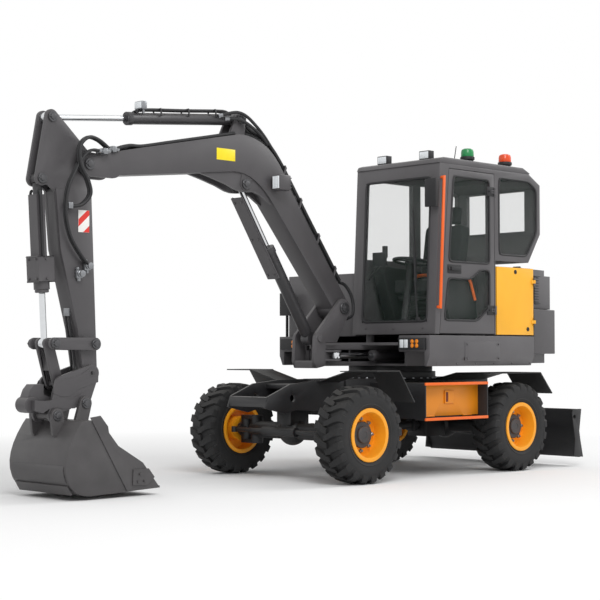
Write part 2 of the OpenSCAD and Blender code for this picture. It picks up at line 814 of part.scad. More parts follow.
// Cab: a shell with its windows and its door opening cut out
screen_top = cab_front - screen_lean;
function cab_outline() = [
    [-door_back - 18, sill_z + 5], [cab_front, sill_z + 5], [screen_top, cab_top],
    [-cab_back + 175, cab_top], [-cab_back, cab_top - 95], [-cab_back, belt_z + 282],
    [-cab_back + 187, belt_z], [-door_back - 18, belt_z]
];
function screen_x(z) = cab_front - screen_lean * (z - sill_z - 5) / (cab_top - sill_z - 5);
door_low = sill_z + 12;
door_high = cab_top - 45;
function door_outline() = [
    [-door_back, door_low], [screen_x(door_low) - 66, door_low],
        [screen_x(door_high) - 130, door_high], [-door_back, door_high]
];
function upper_pane() = [
    [-door_back + 70, belt_z - 35], [screen_x(belt_z) - 160, belt_z - 35],
    [screen_x(door_high) - 190, door_high - 60], [-door_back + 70, door_high - 60]
];
function lower_pane() = [
    [-door_back + 70, sill_z + 255], [-door_back + 250, sill_z + 130], [screen_x(sill_z) - 130, sill_z + 130],
    [screen_x(belt_z) - 152, belt_z - 185], [-door_back + 340, belt_z - 185],
    [-door_back + 205, belt_z - 95], [-door_back + 70, belt_z - 95]
];
function rear_pane() = [
    [-cab_back + 215, belt_z + 60], [-door_back - 75, belt_z + 60], [-door_back - 75, cab_top - 70],
    [-cab_back + 180, cab_top - 70], [-cab_back + 55, cab_top - 140], [-cab_back + 55, belt_z + 290]
];
function right_pane() = [
    [-door_back + 40, belt_z + 20], [screen_x(belt_z) - 70, belt_z + 20],
        [screen_x(cab_top - 80) - 70, cab_top - 80],
    [-door_back + 40, cab_top - 80]
];
door_axis = [-door_back - clear / 2, half_w + hinge_r];
door_hinges = [sill_z + 230, cab_top - 210];
screen_low = sill_z + 115;
screen_high = cab_top - 120;
screen_y0 = cab_right + 118;
screen_y1 = cab_left - 100;
pane_gap = 0.3;

module cab_frame() {
    inner = inset(cab_outline(), cab_t);
    color(grey) at_origin() difference() {
        slab(cab_right, cab_w) polygon(cab_outline());
        slab(cab_right + cab_t, cab_w - 2 * cab_t) union() {
            polygon(inner);
            polygon([inner[2], inner[2] + [0, 2 * cab_t], inner[3] + [0, 2 * cab_t], inner[3]]);
        }
        slab(cab_left - cab_t - 1, cab_t + 2) polygon(inset(door_outline(), -clear));
        slab(cab_left - cab_t - 1, cab_t + 2) polygon(rear_pane());
        slab(cab_right - 1, cab_t + 2) polygon(rear_pane());
        slab(cab_right - 1, cab_t + 2) polygon(right_pane());
        block([screen_top - 120, screen_y0, screen_low], [cab_front + 50, screen_y1, screen_high]);
        block([-cab_back - 1, cab_right + 150, belt_z + 320],
            [-cab_back + cab_t + 60, cab_left - 150, cab_top - 140]);
    }
    color(grey) at_origin() for (z = door_hinges) hinge_pair(door_axis, z, 16);
}

module cab_roof() {
    color(grey) at_origin()
        slab(cab_right - 4, cab_w + 4) polygon([
            [screen_top + 12, cab_top], [screen_top - 10, cab_top + roof_t - 15],
                [screen_top - 60, cab_top + roof_t],
            [-cab_back + 260, cab_top + roof_t], [-cab_back + 150, cab_top + 10],
                [-cab_back + 160, cab_top]]);
}

module cab_glass() {
    set_back = 14;
    color(pane) at_origin() {
        slab(screen_y0 + pane_gap, screen_y1 - screen_y0 - 2 * pane_gap) polygon([
            [screen_x(screen_low) - set_back - glass_t, screen_low + pane_gap],
            [screen_x(screen_low) - set_back, screen_low + pane_gap],
            [screen_x(screen_high) - set_back, screen_high - pane_gap],
            [screen_x(screen_high) - set_back - glass_t, screen_high - pane_gap]]);
        slab(cab_left - 20, glass_t) polygon(inset(rear_pane(), pane_gap));
        slab(cab_right + 14, glass_t) polygon(inset(rear_pane(), pane_gap));
        slab(cab_right + 14, glass_t) polygon(inset(right_pane(), pane_gap));
        block([-cab_back + set_back, cab_right + 150 + pane_gap, belt_z + 320 + pane_gap],
            [-cab_back + set_back + glass_t, cab_left - 150 - pane_gap, cab_top - 140 - pane_gap]);
    }
}

// Door, hinged at its rear edge

module cab_door() {
    color(dark) at_origin() difference() {
        union() {
            slab(cab_left - cab_t, cab_t) polygon(door_outline());
            for (z = door_hinges) hinge_turn(door_axis, z, 50);
        }
        slab(cab_left - cab_t - 1, cab_t + 2) polygon(upper_pane());
        slab(cab_left - cab_t - 1, cab_t + 2) polygon(lower_pane());
        for (z = door_hinges) hinge_bore(door_axis, z);
    }
}

module door_glass() {
    color(pane) at_origin() {
        slab(cab_left - 20, glass_t) polygon(inset(upper_pane(), pane_gap));
        slab(cab_left - 20, glass_t) polygon(inset(lower_pane(), pane_gap));
    }
}

// Seat on its pedestal
floor_z = sill_z + 5 + cab_t;
seat_x = -25;
seat_y = (cab_left + cab_right) / 2;

module seat() {
    color(dark) at_origin() union() {
        block([seat_x - 200, seat_y - 190, floor_z], [seat_x + 200, seat_y + 190, floor_z + 300]);
        slab(seat_y - 240, 480) polygon([
            [seat_x - 240, floor_z + 299], [seat_x + 225, floor_z + 299], [seat_x + 235, floor_z + 370],
            [seat_x + 195, floor_z + 420], [seat_x - 130, floor_z + 400], [seat_x - 240, floor_z + 980],
            [seat_x - 340, floor_z + 970], [seat_x - 270, floor_z + 360]]);
        slab(seat_y - 130, 260) polygon([
            [seat_x - 330, floor_z + 969], [seat_x - 245, floor_z + 969],
                [seat_x - 265, floor_z + 1170], [seat_x - 335, floor_z + 1160]]);
    }
}

// Side consoles with their control levers
module consoles() {
    color(dark) at_origin() for (s = [-1, 1]) {
        slab(seat_y + s * 330 - 70, 140) polygon([
            [seat_x - 230, floor_z], [seat_x + 130, floor_z], [seat_x + 330, floor_z + 520],
            [seat_x + 300, floor_z + 590], [seat_x - 200, floor_z + 560]]);
        translate([seat_x + 240, seat_y + s * 330, floor_z + 560]) cylinder(r = 14, h = 130);
        translate([seat_x + 240, seat_y + s * 330, floor_z + 680]) cylinder(r = 26, h = 110);
    }
}

// Steering column with its wheel
column_foot = [320, floor_z + 6];
column_top = [225, floor_z + 600];
wheel_rim_r = 160;

module steering_column() {
    color(dark) at_origin() union() {
        rod_between(column_foot, column_top, 36, seat_y);
        block([column_foot.x - 60, seat_y - 60, floor_z], [column_foot.x + 60, seat_y + 60, floor_z + 40]);
        translate([column_top.x, seat_y, column_top.y])
            rotate([0, 90 - heading(column_foot, column_top), 0]) {
            cylinder(r = 55, h = 40);
            translate([0, 0, 30]) rotate_extrude() translate([wheel_rim_r, 0]) circle(14);
            for (a = [90, 210, 330]) rotate([0, 0, a]) translate([0, -18, 22]) cube([wheel_rim_r, 36, 14]);
        }
    }
}

// Grab rail beside the cab door
rail_r = 14;

module handrails() {
    low = [screen_x(sill_z + 230) - 24, sill_z + 230];
    high = [screen_x(cab_top - 120) - 24, cab_top - 120];
    color(orange) at_origin() union() {
        rod_between(low, high, rail_r, cab_left + rail_r + 20);
        for (p = [along(low, high, 15), along(high, low, 15)]) cross_bar(p, rail_r, cab_left, rail_r + 20);
    }
}

// Mirrors: one on the cab's front post, one on a stalk at the right front corner
module mirrors() {
    stalk = [skirt_front - 60, -half_w + 45];
    z0 = cab_top - 200;
    head_x = screen_x(z0) + 45;
    color(dark) at_origin() {
        union() {
            slab(cab_left - 80, 30) polygon([[screen_x(z0) + seat, z0], [head_x + 5, z0],
                [head_x + 5, z0 + 30], [screen_x(z0 + 30) + seat, z0 + 30]]);
            block([head_x, cab_left - 100, z0 - 200], [head_x + 40, cab_left + 30, z0 + 50]);
        }
        union() {
            translate([stalk.x, stalk.y, deck_top]) cylinder(r = 14, h = sill_z + 205 - deck_top);
            block([stalk.x - 20, stalk.y - 75, sill_z + 200], [stalk.x + 30, stalk.y + 75, sill_z + 420]);
        }
    }
}

// Work lamps on the roof, beacons, and the corner lamps in the skirts
module lamps() {
    color(dark) at_origin() {
        for (y = [cab_right + 250, cab_left - 250])
            block([screen_top - 140, y - 60, cab_top + roof_t],
                [screen_top - 70, y + 60, cab_top + roof_t + 80]);
        for (x = [-cab_back + 400, -cab_back + 960])
            translate([x, cab_left - 110, cab_top + roof_t]) cylinder(r = 48, h = 120);
        both_sides() block([skirt_front, 620, deck_top - 65], [skirt_front + 30, half_w - 40, sill_z - 30]);
    }
}

// Swing post: tube on the kingpin, cheeks for the boom and its cylinder, and the swing lug
cheek_y = boom_w / 2 + clear + 1;
cheek_x = swing_x + 85;
boss_r = 85;

module swing_post() {
    z0 = nose_gap_low;
    z1 = nose_gap_high;
    low = deck_z - 18;
    color(dark) at_origin() difference() {
        union() {
            translate([swing_x, 0, z0 + seat]) cylinder(r = 85, h = post_h - 2 * seat);
            block([swing_x, -cheek_y - cheek_t, z0 + clear], [cheek_x, cheek_y + cheek_t, z1 - clear]);
            pair_slab(cheek_y, cheek_t) union() {
                web2d(foot, boss_r, boom_cyl_foot, 62);
                polygon([foot + [-76, -38], [swing_x - 60, deck_top], [cheek_x, deck_top],
                    [cheek_x - 1, z0 + clear],
                    [cheek_x, low + 20], [swing_x + 195, low], [swing_x + 228, low + 60],
                        boom_cyl_foot + [62, 0]]);
            }
            block([swing_x + 185, -cheek_y - 1, low], [swing_x + 222, cheek_y + 1, z0 + 10]);
            for (z = [z0 + clear, post_z + swing_eye_w / 2 + clear])
                translate([0, 0, z]) linear_extrude(post_z - swing_eye_w / 2 - clear - z0 - clear)
                    web2d(swing_eye, 44, [cheek_x - 40, cheek_y], 50);
            cross_pin(foot, pin_r, 2 * (cheek_y + cheek_t) + 16);
            pair_slab(cheek_y + cheek_t - 1, 14) translate(boom_cyl_foot) circle(pin_r);
        }
        translate([swing_x, 0, 0]) cylinder(r = king_r + fit, h = 2 * sill_z);
        block([swing_x + 70, -70, z0], [cheek_x + 1, 70, z1]);
    }
}

// Swing cylinder, lying level under the cab
swing_cyl_len = 500;

module level() {
    translate([0, 0, post_z]) rotate([-90, 0, 0]) children();
}

module swing_barrel() {
    color(dark) at_origin() level() barrel(swing_foot, swing_eye, swing_cyl_len, swing_cyl_r,
        swing_eye_w, pin_r - 10);
}

module swing_rod() {
    color(chrome) at_origin() level() piston_rod(swing_foot, swing_eye, swing_cyl_len - 220, 38,
        swing_eye_w);
}

// Boom: a gooseneck box with a fork at its tip, the lugs of two cylinders and the foot boss
foot_r = 92;
fork_r = 95;
fork_root = boom_len - 195;
back_low = [-30, 112];
knee_back = [1000, 775];
knee_front = [1684, 942];
function reversed(p) = [for (i = [len(p) - 1:-1:0]) p[i]];
function boom_outline() = concat(
    [[40, -62]], bend([1102, 536], [1400, 712], [1631, 609], 8), [[fork_root, -8], [fork_root + 60, 168]],
    reversed(bend(knee_back, [1330, 1085], knee_front)), [back_low, [-85, 30]]);

module in_boom() {
    translate([foot.x, 0, foot.y]) rotate([0, -boom_angle, 0]) children();
}

boom_top_local = [1461, 570];
arm_foot_local = [1702, 1083];
boom_lug_in = 52;
arm_lug_in = 51;

module boom() {
    tip_local = [boom_len, 0];
    color(grey) at_origin() in_boom() difference() {
        union() {
            mid_slab(boom_w) union() {
                difference() {
                    polygon(boom_outline());
                    translate(boom_top_local) circle(75);
                }
                circle(foot_r);
            }
            pair_slab(fork_gap / 2, (boom_w - fork_gap) / 2) union() {
                web2d([fork_root - 30, 80], 88, tip_local, fork_r);
            }
            pair_slab(boom_lug_in, 40) web2d(boom_top_local, 58, boom_top_local + [10, 110], 70);
            pair_slab(arm_lug_in, 28) web2d(arm_foot_local, 55, arm_foot_local - [20, 190], 90);
            cross_pin(tip_local, pin_r, boom_w + 16);
            cross_pin(boom_top_local, pin_r - 4, 2 * boom_lug_in + 96);
            cross_pin(arm_foot_local, pin_r - 4, 2 * arm_lug_in + 72);
        }
        cross_pin([0, 0], pin_r + fit, boom_w + 2);
    }
}

// Pipes clamped along the boom's back
line_r = 13;
line_gap = 8;
line_pitch = 34;

module band(p, d0, d1) {
    polygon(concat(strip(p, d0), reversed(strip(p, d1))));
}

module boom_lines() {
    start = along(knee_back, back_low, 1080);
    run = concat([start], [for (i = [0:7]) bend(knee_back, [1330, 1085], knee_front)[i]]);
    color(dark) at_origin() in_boom() union() {
        for (y = [-1.5, -0.5, 0.5, 1.5])
            slab(y * line_pitch - line_r, 2 * line_r) band(run, line_gap, line_gap + 2 * line_r);
        for (d = [60, 480, 900])
            mid_slab(4 * line_pitch + 12) band([along(start, knee_back, d),
                along(start, knee_back, d + 50)], seat, line_gap + 2 * line_r + 8);
    }
}

// Points of an open line moved to its left by d
function strip(p, d) = let (n = len(p)) [
    for (i = [0:n - 1])
        let (u = left_of(unit(i > 0 ? p[i] - p[i - 1] : p[1] - p[0])),
            v = left_of(unit(i < n - 1 ? p[i + 1] - p[i] : p[i] - p[i - 1])))
            p[i] + d * (u + v) / (1 + u * v)
];

boom_cyl_len = 950;

module boom_barrel() {
    color(grey) at_origin() barrel(boom_cyl_foot, boom_cyl_top, boom_cyl_len, boom_cyl_r,
        2 * boom_lug_in - 10);
}

// Boom cylinder's rod with the channel that guards it
module boom_rod() {
    color(chrome) at_origin() piston_rod(boom_cyl_foot, boom_cyl_top, boom_cyl_len - 480, 50,
        2 * boom_lug_in - 2, pin_r - 4);
}

arm_cyl_len = 1190;

module arm_barrel() {
    color(grey) at_origin() barrel(arm_cyl_foot, arm_cyl_eye, arm_cyl_len, arm_cyl_r,
        2 * arm_lug_in - 2, pin_r - 4);
}

module arm_rod() {
    color(chrome) at_origin() piston_rod(arm_cyl_foot, arm_cyl_eye, arm_cyl_len - 500, 45,
        2 * (arm_ear_y - ear_t - clear));
}

// Arm: box with an ear bracket on top for two cylinders, and the pivots of rocker and coupler
arm_ear_y = fork_gap / 2 - 3;
coupler_t = 26;
arm_end = [0, -arm_len];
arm_rocker_local = arm_end + turn([-15, 228], -arm_lean);

module in_arm() {
    translate([tip.x, 0, tip.y]) rotate([0, -arm_lean, 0]) children();
}

module arm() {
    eye_local = [319, 349];
    top_local = [418, -134];
    head_z = -210;
    color(grey) at_origin() in_arm() difference() {
        union() {
            mid_slab(arm_w) polygon([
                [-35, head_z], [-62, -1300], arm_end + [-70, 20], arm_end + [60, 10], [110, -1300],
                    [262, -680], [300, head_z]]);
            pair_slab(arm_ear_y - ear_t, ear_t) union() {
                web2d([0, 0], 92, eye_local, ear_r);
                web2d(eye_local, ear_r, top_local, ear_r);
                web2d([0, 0], 92, top_local, ear_r);
                polygon([[0, 0], eye_local, top_local, [300, head_z - 20], [262, -680], [-45, -680],
                    [-35, head_z]]);
            }
            cross_pin([0, 0], 86, 2 * arm_ear_y - 2);
            cross_pin(top_local, pin_r - 6, 2 * arm_ear_y + 14);
            cross_pin(arm_end, 68, arm_w);
            cross_pin(arm_end, pin_r - 4, arm_w + 2 * (coupler_t + clear) + 10);
            cross_pin(arm_rocker_local, 52, arm_w);
            cross_pin(arm_rocker_local, pin_r - 8, 2 * (rocker_y + rocker_t) + 8);
            pair_slab(arm_ear_y - 1, 10) translate(eye_local) circle(pin_r);
        }
        cross_pin([0, 0], pin_r + fit, 2 * arm_ear_y + 2);
    }
}

bucket_cyl_len = 880;

module bucket_barrel() {
    color(grey) at_origin() barrel(bucket_cyl_top, rocker_eye, bucket_cyl_len,
        arm_ear_y - ear_t - clear, 2 * (arm_ear_y - ear_t - clear), pin_r - 6);
}

module bucket_rod() {
    color(chrome) at_origin() piston_rod(bucket_cyl_top, rocker_eye, bucket_cyl_len - 545, 40, 60);
}

// Rocker plates beside the arm
rocker_t = 22;
rocker_y = arm_w / 2 + 2 * clear + coupler_t;

module rocker() {
    color(grey) at_origin() difference() {
        union() {
            pair_slab(rocker_y, rocker_t) web2d(rocker_pin, 50, rocker_eye, 46);
            pair_slab(rocker_y + rocker_t - 1, 12) translate(rocker_eye) circle(pin_r - 4);
        }
        cross_pin(rocker_pin, pin_r - 8 + fit, 2 * rocker_y + 100);
    }
}

// Link from the rocker to the coupler
link_y = arm_w / 2 - 20;

module bucket_link() {
    color(grey) at_origin() difference() {
        union() {
            pair_slab(link_y - 26, 26) web2d(rocker_eye, 44, link_pin, 46);
            mid_slab(2 * link_y - 2) translate((rocker_eye + link_pin) / 2)
                square([50, 110], center = true);
        }
        cross_pin(link_pin, pin_r - 8 + fit, 2 * link_y + 2);
    }
}

// Quick coupler: two cheeks with the hooks that hold the bucket's pins

module coupler() {
    y = arm_w / 2 + clear;
    color(grey) at_origin() difference() {
        union() {
            pair_slab(y, coupler_t) union() {
                web2d(wrist, 66, link_pin, 62);
                web2d(wrist, 66, hook_front, 58);
                web2d(link_pin, 62, hook_back, 58);
                polygon([wrist, link_pin, hook_back, hook_front]);
            }
            cross_pin(link_pin, pin_r - 8, 2 * y + 1);
            cross_pin((hook_front + hook_back) / 2 + [0, 40], 40, 2 * y + 1);
        }
        cross_pin(wrist, pin_r - 4 + fit, 2 * y + 200);
        for (p = [hook_front, hook_back]) cross_pin(p, pin_r + fit, 2 * y + 200);
    }
}

// Bucket: rolled shell between two side plates, ears on top and a cutting lip
function shell_outer() = concat(
    [[109, -361], [280, -361]],
    bend([310, -400], [480, -640], [410, -800], 6), bend([398, -826], [350, -918], [218, -932], 4),
    [[-471, -906]]);

module bucket() {
    outer = shell_outer();
    inner = reversed(strip(outer, -bucket_t));
    ear_y = arm_w / 2 + clear + coupler_t + clear;
    color(grey) at_origin() translate([wrist.x, 0, wrist.y]) {
        mid_slab(bucket_w - 2) polygon(concat(outer, inner));
        pair_slab(bucket_w / 2 - bucket_t, bucket_t) polygon(concat(outer, [[-300, -700], [-60, -560]]));
        pair_slab(ear_y, 30) union() {
            web2d(hook_front - wrist, 55, [130, -400], 60);
            web2d(hook_back - wrist, 55, [330, -440], 60);
        }
        for (p = [hook_front - wrist, hook_back - wrist]) cross_pin(p, pin_r, 2 * ear_y + 60);
    }
}

chassis_frame();
front_axle();
rear_axle();
drive_shaft();
slew_ring();
fenders();
step_boxes();
toolbox_lid();
steering_rod();
knuckle_left();
knuckle_right();
tyre_front_left();
tyre_front_right();
tyre_rear_left();
tyre_rear_right();
rim_front_left();
rim_front_right();
rim_rear_left();
rim_rear_right();
blade();
blade_barrel();
blade_rod();
upper_frame();
side_skirts();
counterweight();
engine_block();
engine_hood();
service_door();
body_cover();
cab_frame();
cab_roof();
cab_glass();
cab_door();
door_glass();
seat();
consoles();
steering_column();
handrails();
mirrors();
lamps();
swing_post();
swing_barrel();
swing_rod();
boom();
boom_lines();
boom_barrel();
boom_rod();
arm();
arm_barrel();
arm_rod();
bucket_barrel();
bucket_rod();
rocker();
bucket_link();
coupler();
bucket();
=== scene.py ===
import math

import bmesh
import bpy
from mathutils import Matrix, Vector


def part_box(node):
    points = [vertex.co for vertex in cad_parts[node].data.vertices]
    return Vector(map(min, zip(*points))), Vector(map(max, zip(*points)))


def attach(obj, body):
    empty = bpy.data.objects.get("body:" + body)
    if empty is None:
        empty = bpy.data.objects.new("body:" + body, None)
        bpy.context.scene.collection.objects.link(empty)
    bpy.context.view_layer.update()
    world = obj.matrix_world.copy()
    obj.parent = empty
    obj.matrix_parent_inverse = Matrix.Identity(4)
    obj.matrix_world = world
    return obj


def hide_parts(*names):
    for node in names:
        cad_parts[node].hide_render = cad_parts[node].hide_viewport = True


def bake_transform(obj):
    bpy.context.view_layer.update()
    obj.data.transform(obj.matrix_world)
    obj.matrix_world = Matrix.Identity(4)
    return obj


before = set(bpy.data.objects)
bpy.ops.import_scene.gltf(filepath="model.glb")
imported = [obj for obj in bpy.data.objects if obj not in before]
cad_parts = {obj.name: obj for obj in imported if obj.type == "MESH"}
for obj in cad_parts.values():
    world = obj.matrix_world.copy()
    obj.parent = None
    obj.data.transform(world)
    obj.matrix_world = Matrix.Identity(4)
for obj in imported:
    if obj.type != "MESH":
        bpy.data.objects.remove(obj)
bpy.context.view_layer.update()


# The view: a long lens at bucket-operator height, ahead of the left front wheel.
# Places are written in millimetres from the slewing axis, as on a machine drawing.
def at(x, y, z):
    return Vector(((x - 1165.5) / 1000, y / 1000, z / 1000))


view = bpy.data.objects.new("view", bpy.data.cameras.new("view"))
view.data.sensor_width = 36
view.data.lens = 88.70
view.data.clip_end = 200
view.location = at(10515, 9577, 1124)
view.rotation_euler = (math.radians(92.03), 0, math.radians(135.824))
bpy.context.scene.collection.objects.link(view)
bpy.context.scene.camera = view
bpy.context.scene.view_settings.view_transform = "Standard"


# The floor: one wide seamless sheet of white studio paper with a fine tooth,
# laid flat under the wheels.
floor_bm = bmesh.new()
bmesh.ops.create_grid(floor_bm, x_segments=8, y_segments=8, size=60)
floor_mesh = bpy.data.meshes.new("studio_floor")
floor_bm.to_mesh(floor_mesh)
floor_bm.free()
floor = bpy.data.objects.new("studio_floor", floor_mesh)
bpy.context.scene.collection.objects.link(floor)
paper = bpy.data.materials.new("studio_paper")
paper.use_nodes = True
paper_nodes, paper_links = paper.node_tree.nodes, paper.node_tree.links
paper_shader = paper_nodes["Principled BSDF"]
paper_shader.inputs["Roughness"].default_value = 0.9
paper_shader.inputs["Specular IOR Level"].default_value = 0.1
paper_place = paper_nodes.new("ShaderNodeTexCoord")
paper_tooth = paper_nodes.new("ShaderNodeTexNoise")
paper_tooth.inputs["Scale"].default_value = 40
paper_tone = paper_nodes.new("ShaderNodeMapRange")
paper_tone.inputs["To Min"].default_value = 0.93
paper_tone.inputs["To Max"].default_value = 0.96
paper_links.new(paper_place.outputs["Object"], paper_tooth.inputs["Vector"])
paper_links.new(paper_tooth.outputs["Fac"], paper_tone.inputs["Value"])
paper_links.new(paper_tone.outputs["Result"], paper_shader.inputs["Base Color"])
paper_reach = paper_nodes.new("ShaderNodeVectorMath")
paper_reach.operation = "LENGTH"
paper_links.new(paper_place.outputs["Object"], paper_reach.inputs[0])
paper_fade = paper_nodes.new("ShaderNodeMapRange")
paper_fade.inputs["From Min"].default_value = 3.0
paper_fade.inputs["From Max"].default_value = 8.0
paper_links.new(paper_reach.outputs["Value"], paper_fade.inputs["Value"])
paper_ray = paper_nodes.new("ShaderNodeLightPath")
paper_share = paper_nodes.new("ShaderNodeMath")
paper_share.operation = "MULTIPLY"
paper_links.new(paper_fade.outputs["Result"], paper_share.inputs[0])
paper_links.new(paper_ray.outputs["Is Camera Ray"], paper_share.inputs[1])
paper_white = paper_nodes.new("ShaderNodeEmission")
paper_mix = paper_nodes.new("ShaderNodeMixShader")
paper_links.new(paper_share.outputs["Value"], paper_mix.inputs["Fac"])
paper_links.new(paper_shader.outputs["BSDF"], paper_mix.inputs[1])
paper_links.new(paper_white.outputs["Emission"], paper_mix.inputs[2])
paper_links.new(paper_mix.outputs["Shader"], paper_nodes["Material Output"].inputs["Surface"])
floor_mesh.materials.append(paper)


# The light: an even white studio all round, one broad soft box high on the left
# front, and a weaker one behind that draws the upper edges.
world = bpy.data.worlds.new("white_studio")
world.use_nodes = True
bpy.context.scene.world = world
world_nodes, world_links = world.node_tree.nodes, world.node_tree.links
backdrop = world_nodes["Background"]
backdrop.inputs["Color"].default_value = (1, 1, 1, 1)
ray = world_nodes.new("ShaderNodeLightPath")
seen = world_nodes.new("ShaderNodeMath")
seen.operation = "MAXIMUM"
world_links.new(ray.outputs["Is Camera Ray"], seen.inputs[0])
world_links.new(ray.outputs["Is Transmission Ray"], seen.inputs[1])
mirrored = world_nodes.new("ShaderNodeMath")
mirrored.operation = "MAXIMUM"
world_links.new(seen.outputs["Value"], mirrored.inputs[0])
world_links.new(ray.outputs["Is Glossy Ray"], mirrored.inputs[1])
level = world_nodes.new("ShaderNodeMapRange")
level.inputs["To Min"].default_value = 0.62
level.inputs["To Max"].default_value = 1.0
world_links.new(mirrored.outputs["Value"], level.inputs["Value"])
world_links.new(level.outputs["Result"], backdrop.inputs["Strength"])
for name, place, size, watts in (
    ("soft_box_front", at(6500, 8500, 9000), 6.0, 620),
    ("soft_box_back", at(-6500, 3500, 8000), 5.0, 320),
):
    lamp = bpy.data.lights.new(name, "AREA")
    lamp.shape = "DISK"
    lamp.size = size
    lamp.energy = watts
    holder = bpy.data.objects.new(name, lamp)
    holder.location = place
    holder.rotation_euler = (at(1000, 0, 1200) - place).to_track_quat("-Z", "Y").to_euler()
    bpy.context.scene.collection.objects.link(holder)


# Hoses over the boom tip: four hydraulic hoses of ribbed black rubber leave a clamp
# on the boom, loop round the pin and run down into a clamp on the arm.
def shade(code):
    parts = [int(code[i : i + 2], 16) / 255 for i in (1, 3, 5)]
    return tuple(c / 12.92 if c <= 0.04045 else ((c + 0.055) / 1.055) ** 2.4 for c in parts) + (1,)


def finish(name, code, rough, metal=0.0, spread=0.14, cloud=3.0, grain=160.0, relief=0.06, dust=0.0):
    """A surface with broad cloudy tone, fine grain in gloss and relief, and dust where it faces up."""
    material = bpy.data.materials.new(name)
    material.use_nodes = True
    nodes, links = material.node_tree.nodes, material.node_tree.links
    shader = nodes["Principled BSDF"]
    shader.inputs["Metallic"].default_value = metal
    place = nodes.new("ShaderNodeTexCoord")
    broad = nodes.new("ShaderNodeTexNoise")
    broad.inputs["Scale"].default_value = cloud
    broad.inputs["Detail"].default_value = 6
    fine = nodes.new("ShaderNodeTexNoise")
    fine.inputs["Scale"].default_value = grain
    fine.inputs["Detail"].default_value = 3
    for texture in (broad, fine):
        links.new(place.outputs["Object"], texture.inputs["Vector"])
    tone = nodes.new("ShaderNodeValToRGB")
    base = shade(code)
    tone.color_ramp.elements[0].position = 0.3
    tone.color_ramp.elements[0].color = tuple(c * (1 - spread) for c in base[:3]) + (1,)
    tone.color_ramp.elements[1].position = 0.7
    tone.color_ramp.elements[1].color = tuple(min(1, c * (1 + spread)) for c in base[:3]) + (1,)
    links.new(broad.outputs["Fac"], tone.inputs["Fac"])
    colour = tone.outputs["Color"]
    if dust:
        facing = nodes.new("ShaderNodeNewGeometry")
        split = nodes.new("ShaderNodeSeparateXYZ")
        links.new(facing.outputs["Normal"], split.inputs["Vector"])
        up = nodes.new("ShaderNodeMapRange")
        up.inputs["From Min"].default_value = 0.4
        up.inputs["To Max"].default_value = dust
        links.new(split.outputs["Z"], up.inputs["Value"])
        patchy = nodes.new("ShaderNodeMath")
        patchy.operation = "MULTIPLY"
        links.new(up.outputs["Result"], patchy.inputs[0])
        links.new(broad.outputs["Fac"], patchy.inputs[1])
        film = nodes.new("ShaderNodeMix")
        film.data_type = "RGBA"
        film.inputs["B"].default_value = shade("#a8a196")
        links.new(patchy.outputs["Value"], film.inputs["Factor"])
        links.new(colour, film.inputs["A"])
        colour = film.outputs["Result"]
    links.new(colour, shader.inputs["Base Color"])
    gloss = nodes.new("ShaderNodeMapRange")
    gloss.inputs["To Min"].default_value = max(0.02, rough - 0.08)
    gloss.inputs["To Max"].default_value = min(1, rough + 0.1)
    links.new(fine.outputs["Fac"], gloss.inputs["Value"])
    links.new(gloss.outputs["Result"], shader.inputs["Roughness"])
    bump = nodes.new("ShaderNodeBump")
    bump.inputs["Strength"].default_value = relief
    bump.inputs["Distance"].default_value = 0.003
    links.new(fine.outputs["Fac"], bump.inputs["Height"])
    links.new(bump.outputs["Normal"], shader.inputs["Normal"])
    return material


hose_rubber = finish("hose_rubber", "#1c1c1e", 0.55, spread=0.2, cloud=12, grain=400, relief=0.12)


def eased_route(points, steps=8):
    """Points along one smooth line through the given ones."""
    ends = [points[0] * 2 - points[1]] + list(points) + [points[-1] * 2 - points[-2]]
    route = []
    for i in range(1, len(ends) - 2):
        a, b, c, d = ends[i - 1 : i + 3]
        for k in range(steps):
            t = k / steps
            route.append(
                0.5 * (2 * b + (c - a) * t + (2 * a - 5 * b + 4 * c - d) * t * t + (3 * b - a - 3 * c + d) * t**3)
            )
    return route + [points[-1]]


def run_tube(bm, route, radius, sides=10):
    """A closed round tube along a route of points."""
    side = None
    rings = []
    for i, p in enumerate(route):
        ahead = (route[min(i + 1, len(route) - 1)] - route[max(i - 1, 0)]).normalized()
        if side is None:
            side = ahead.orthogonal().normalized()
        side = (side - ahead * side.dot(ahead)).normalized()
        other = ahead.cross(side)
        rings.append(
            [
                bm.verts.new(p + radius * (side * math.cos(a) + other * math.sin(a)))
                for a in (2 * math.pi * k / sides for k in range(sides))
            ]
        )
    for low, high in zip(rings, rings[1:]):
        for k in range(sides):
            bm.faces.new((low[k], low[(k + 1) % sides], high[(k + 1) % sides], high[k]))
    bm.faces.new(list(reversed(rings[0])))
    bm.faces.new(rings[-1])


def set_down(name, bm, material):
    """Turns a finished mesh into an object with its place in the mesh."""
    bmesh.ops.recalc_face_normals(bm, faces=bm.faces)
    mesh = bpy.data.meshes.new(name)
    bm.to_mesh(mesh)
    bm.free()
    mesh.materials.append(material)
    mesh.polygons.foreach_set("use_smooth", [True] * len(mesh.polygons))
    mesh.set_sharp_from_angle(angle=math.radians(35))
    piece = bpy.data.objects.new(name, mesh)
    bpy.context.scene.collection.objects.link(piece)
    return piece


def hang_hose(name, points, radius):
    """One free hose from a clamp on one body to a clamp on the next."""
    route = eased_route(points)
    bm = bmesh.new()
    run_tube(bm, route, radius)
    hose = set_down(name, bm, hose_rubber)
    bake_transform(hose)


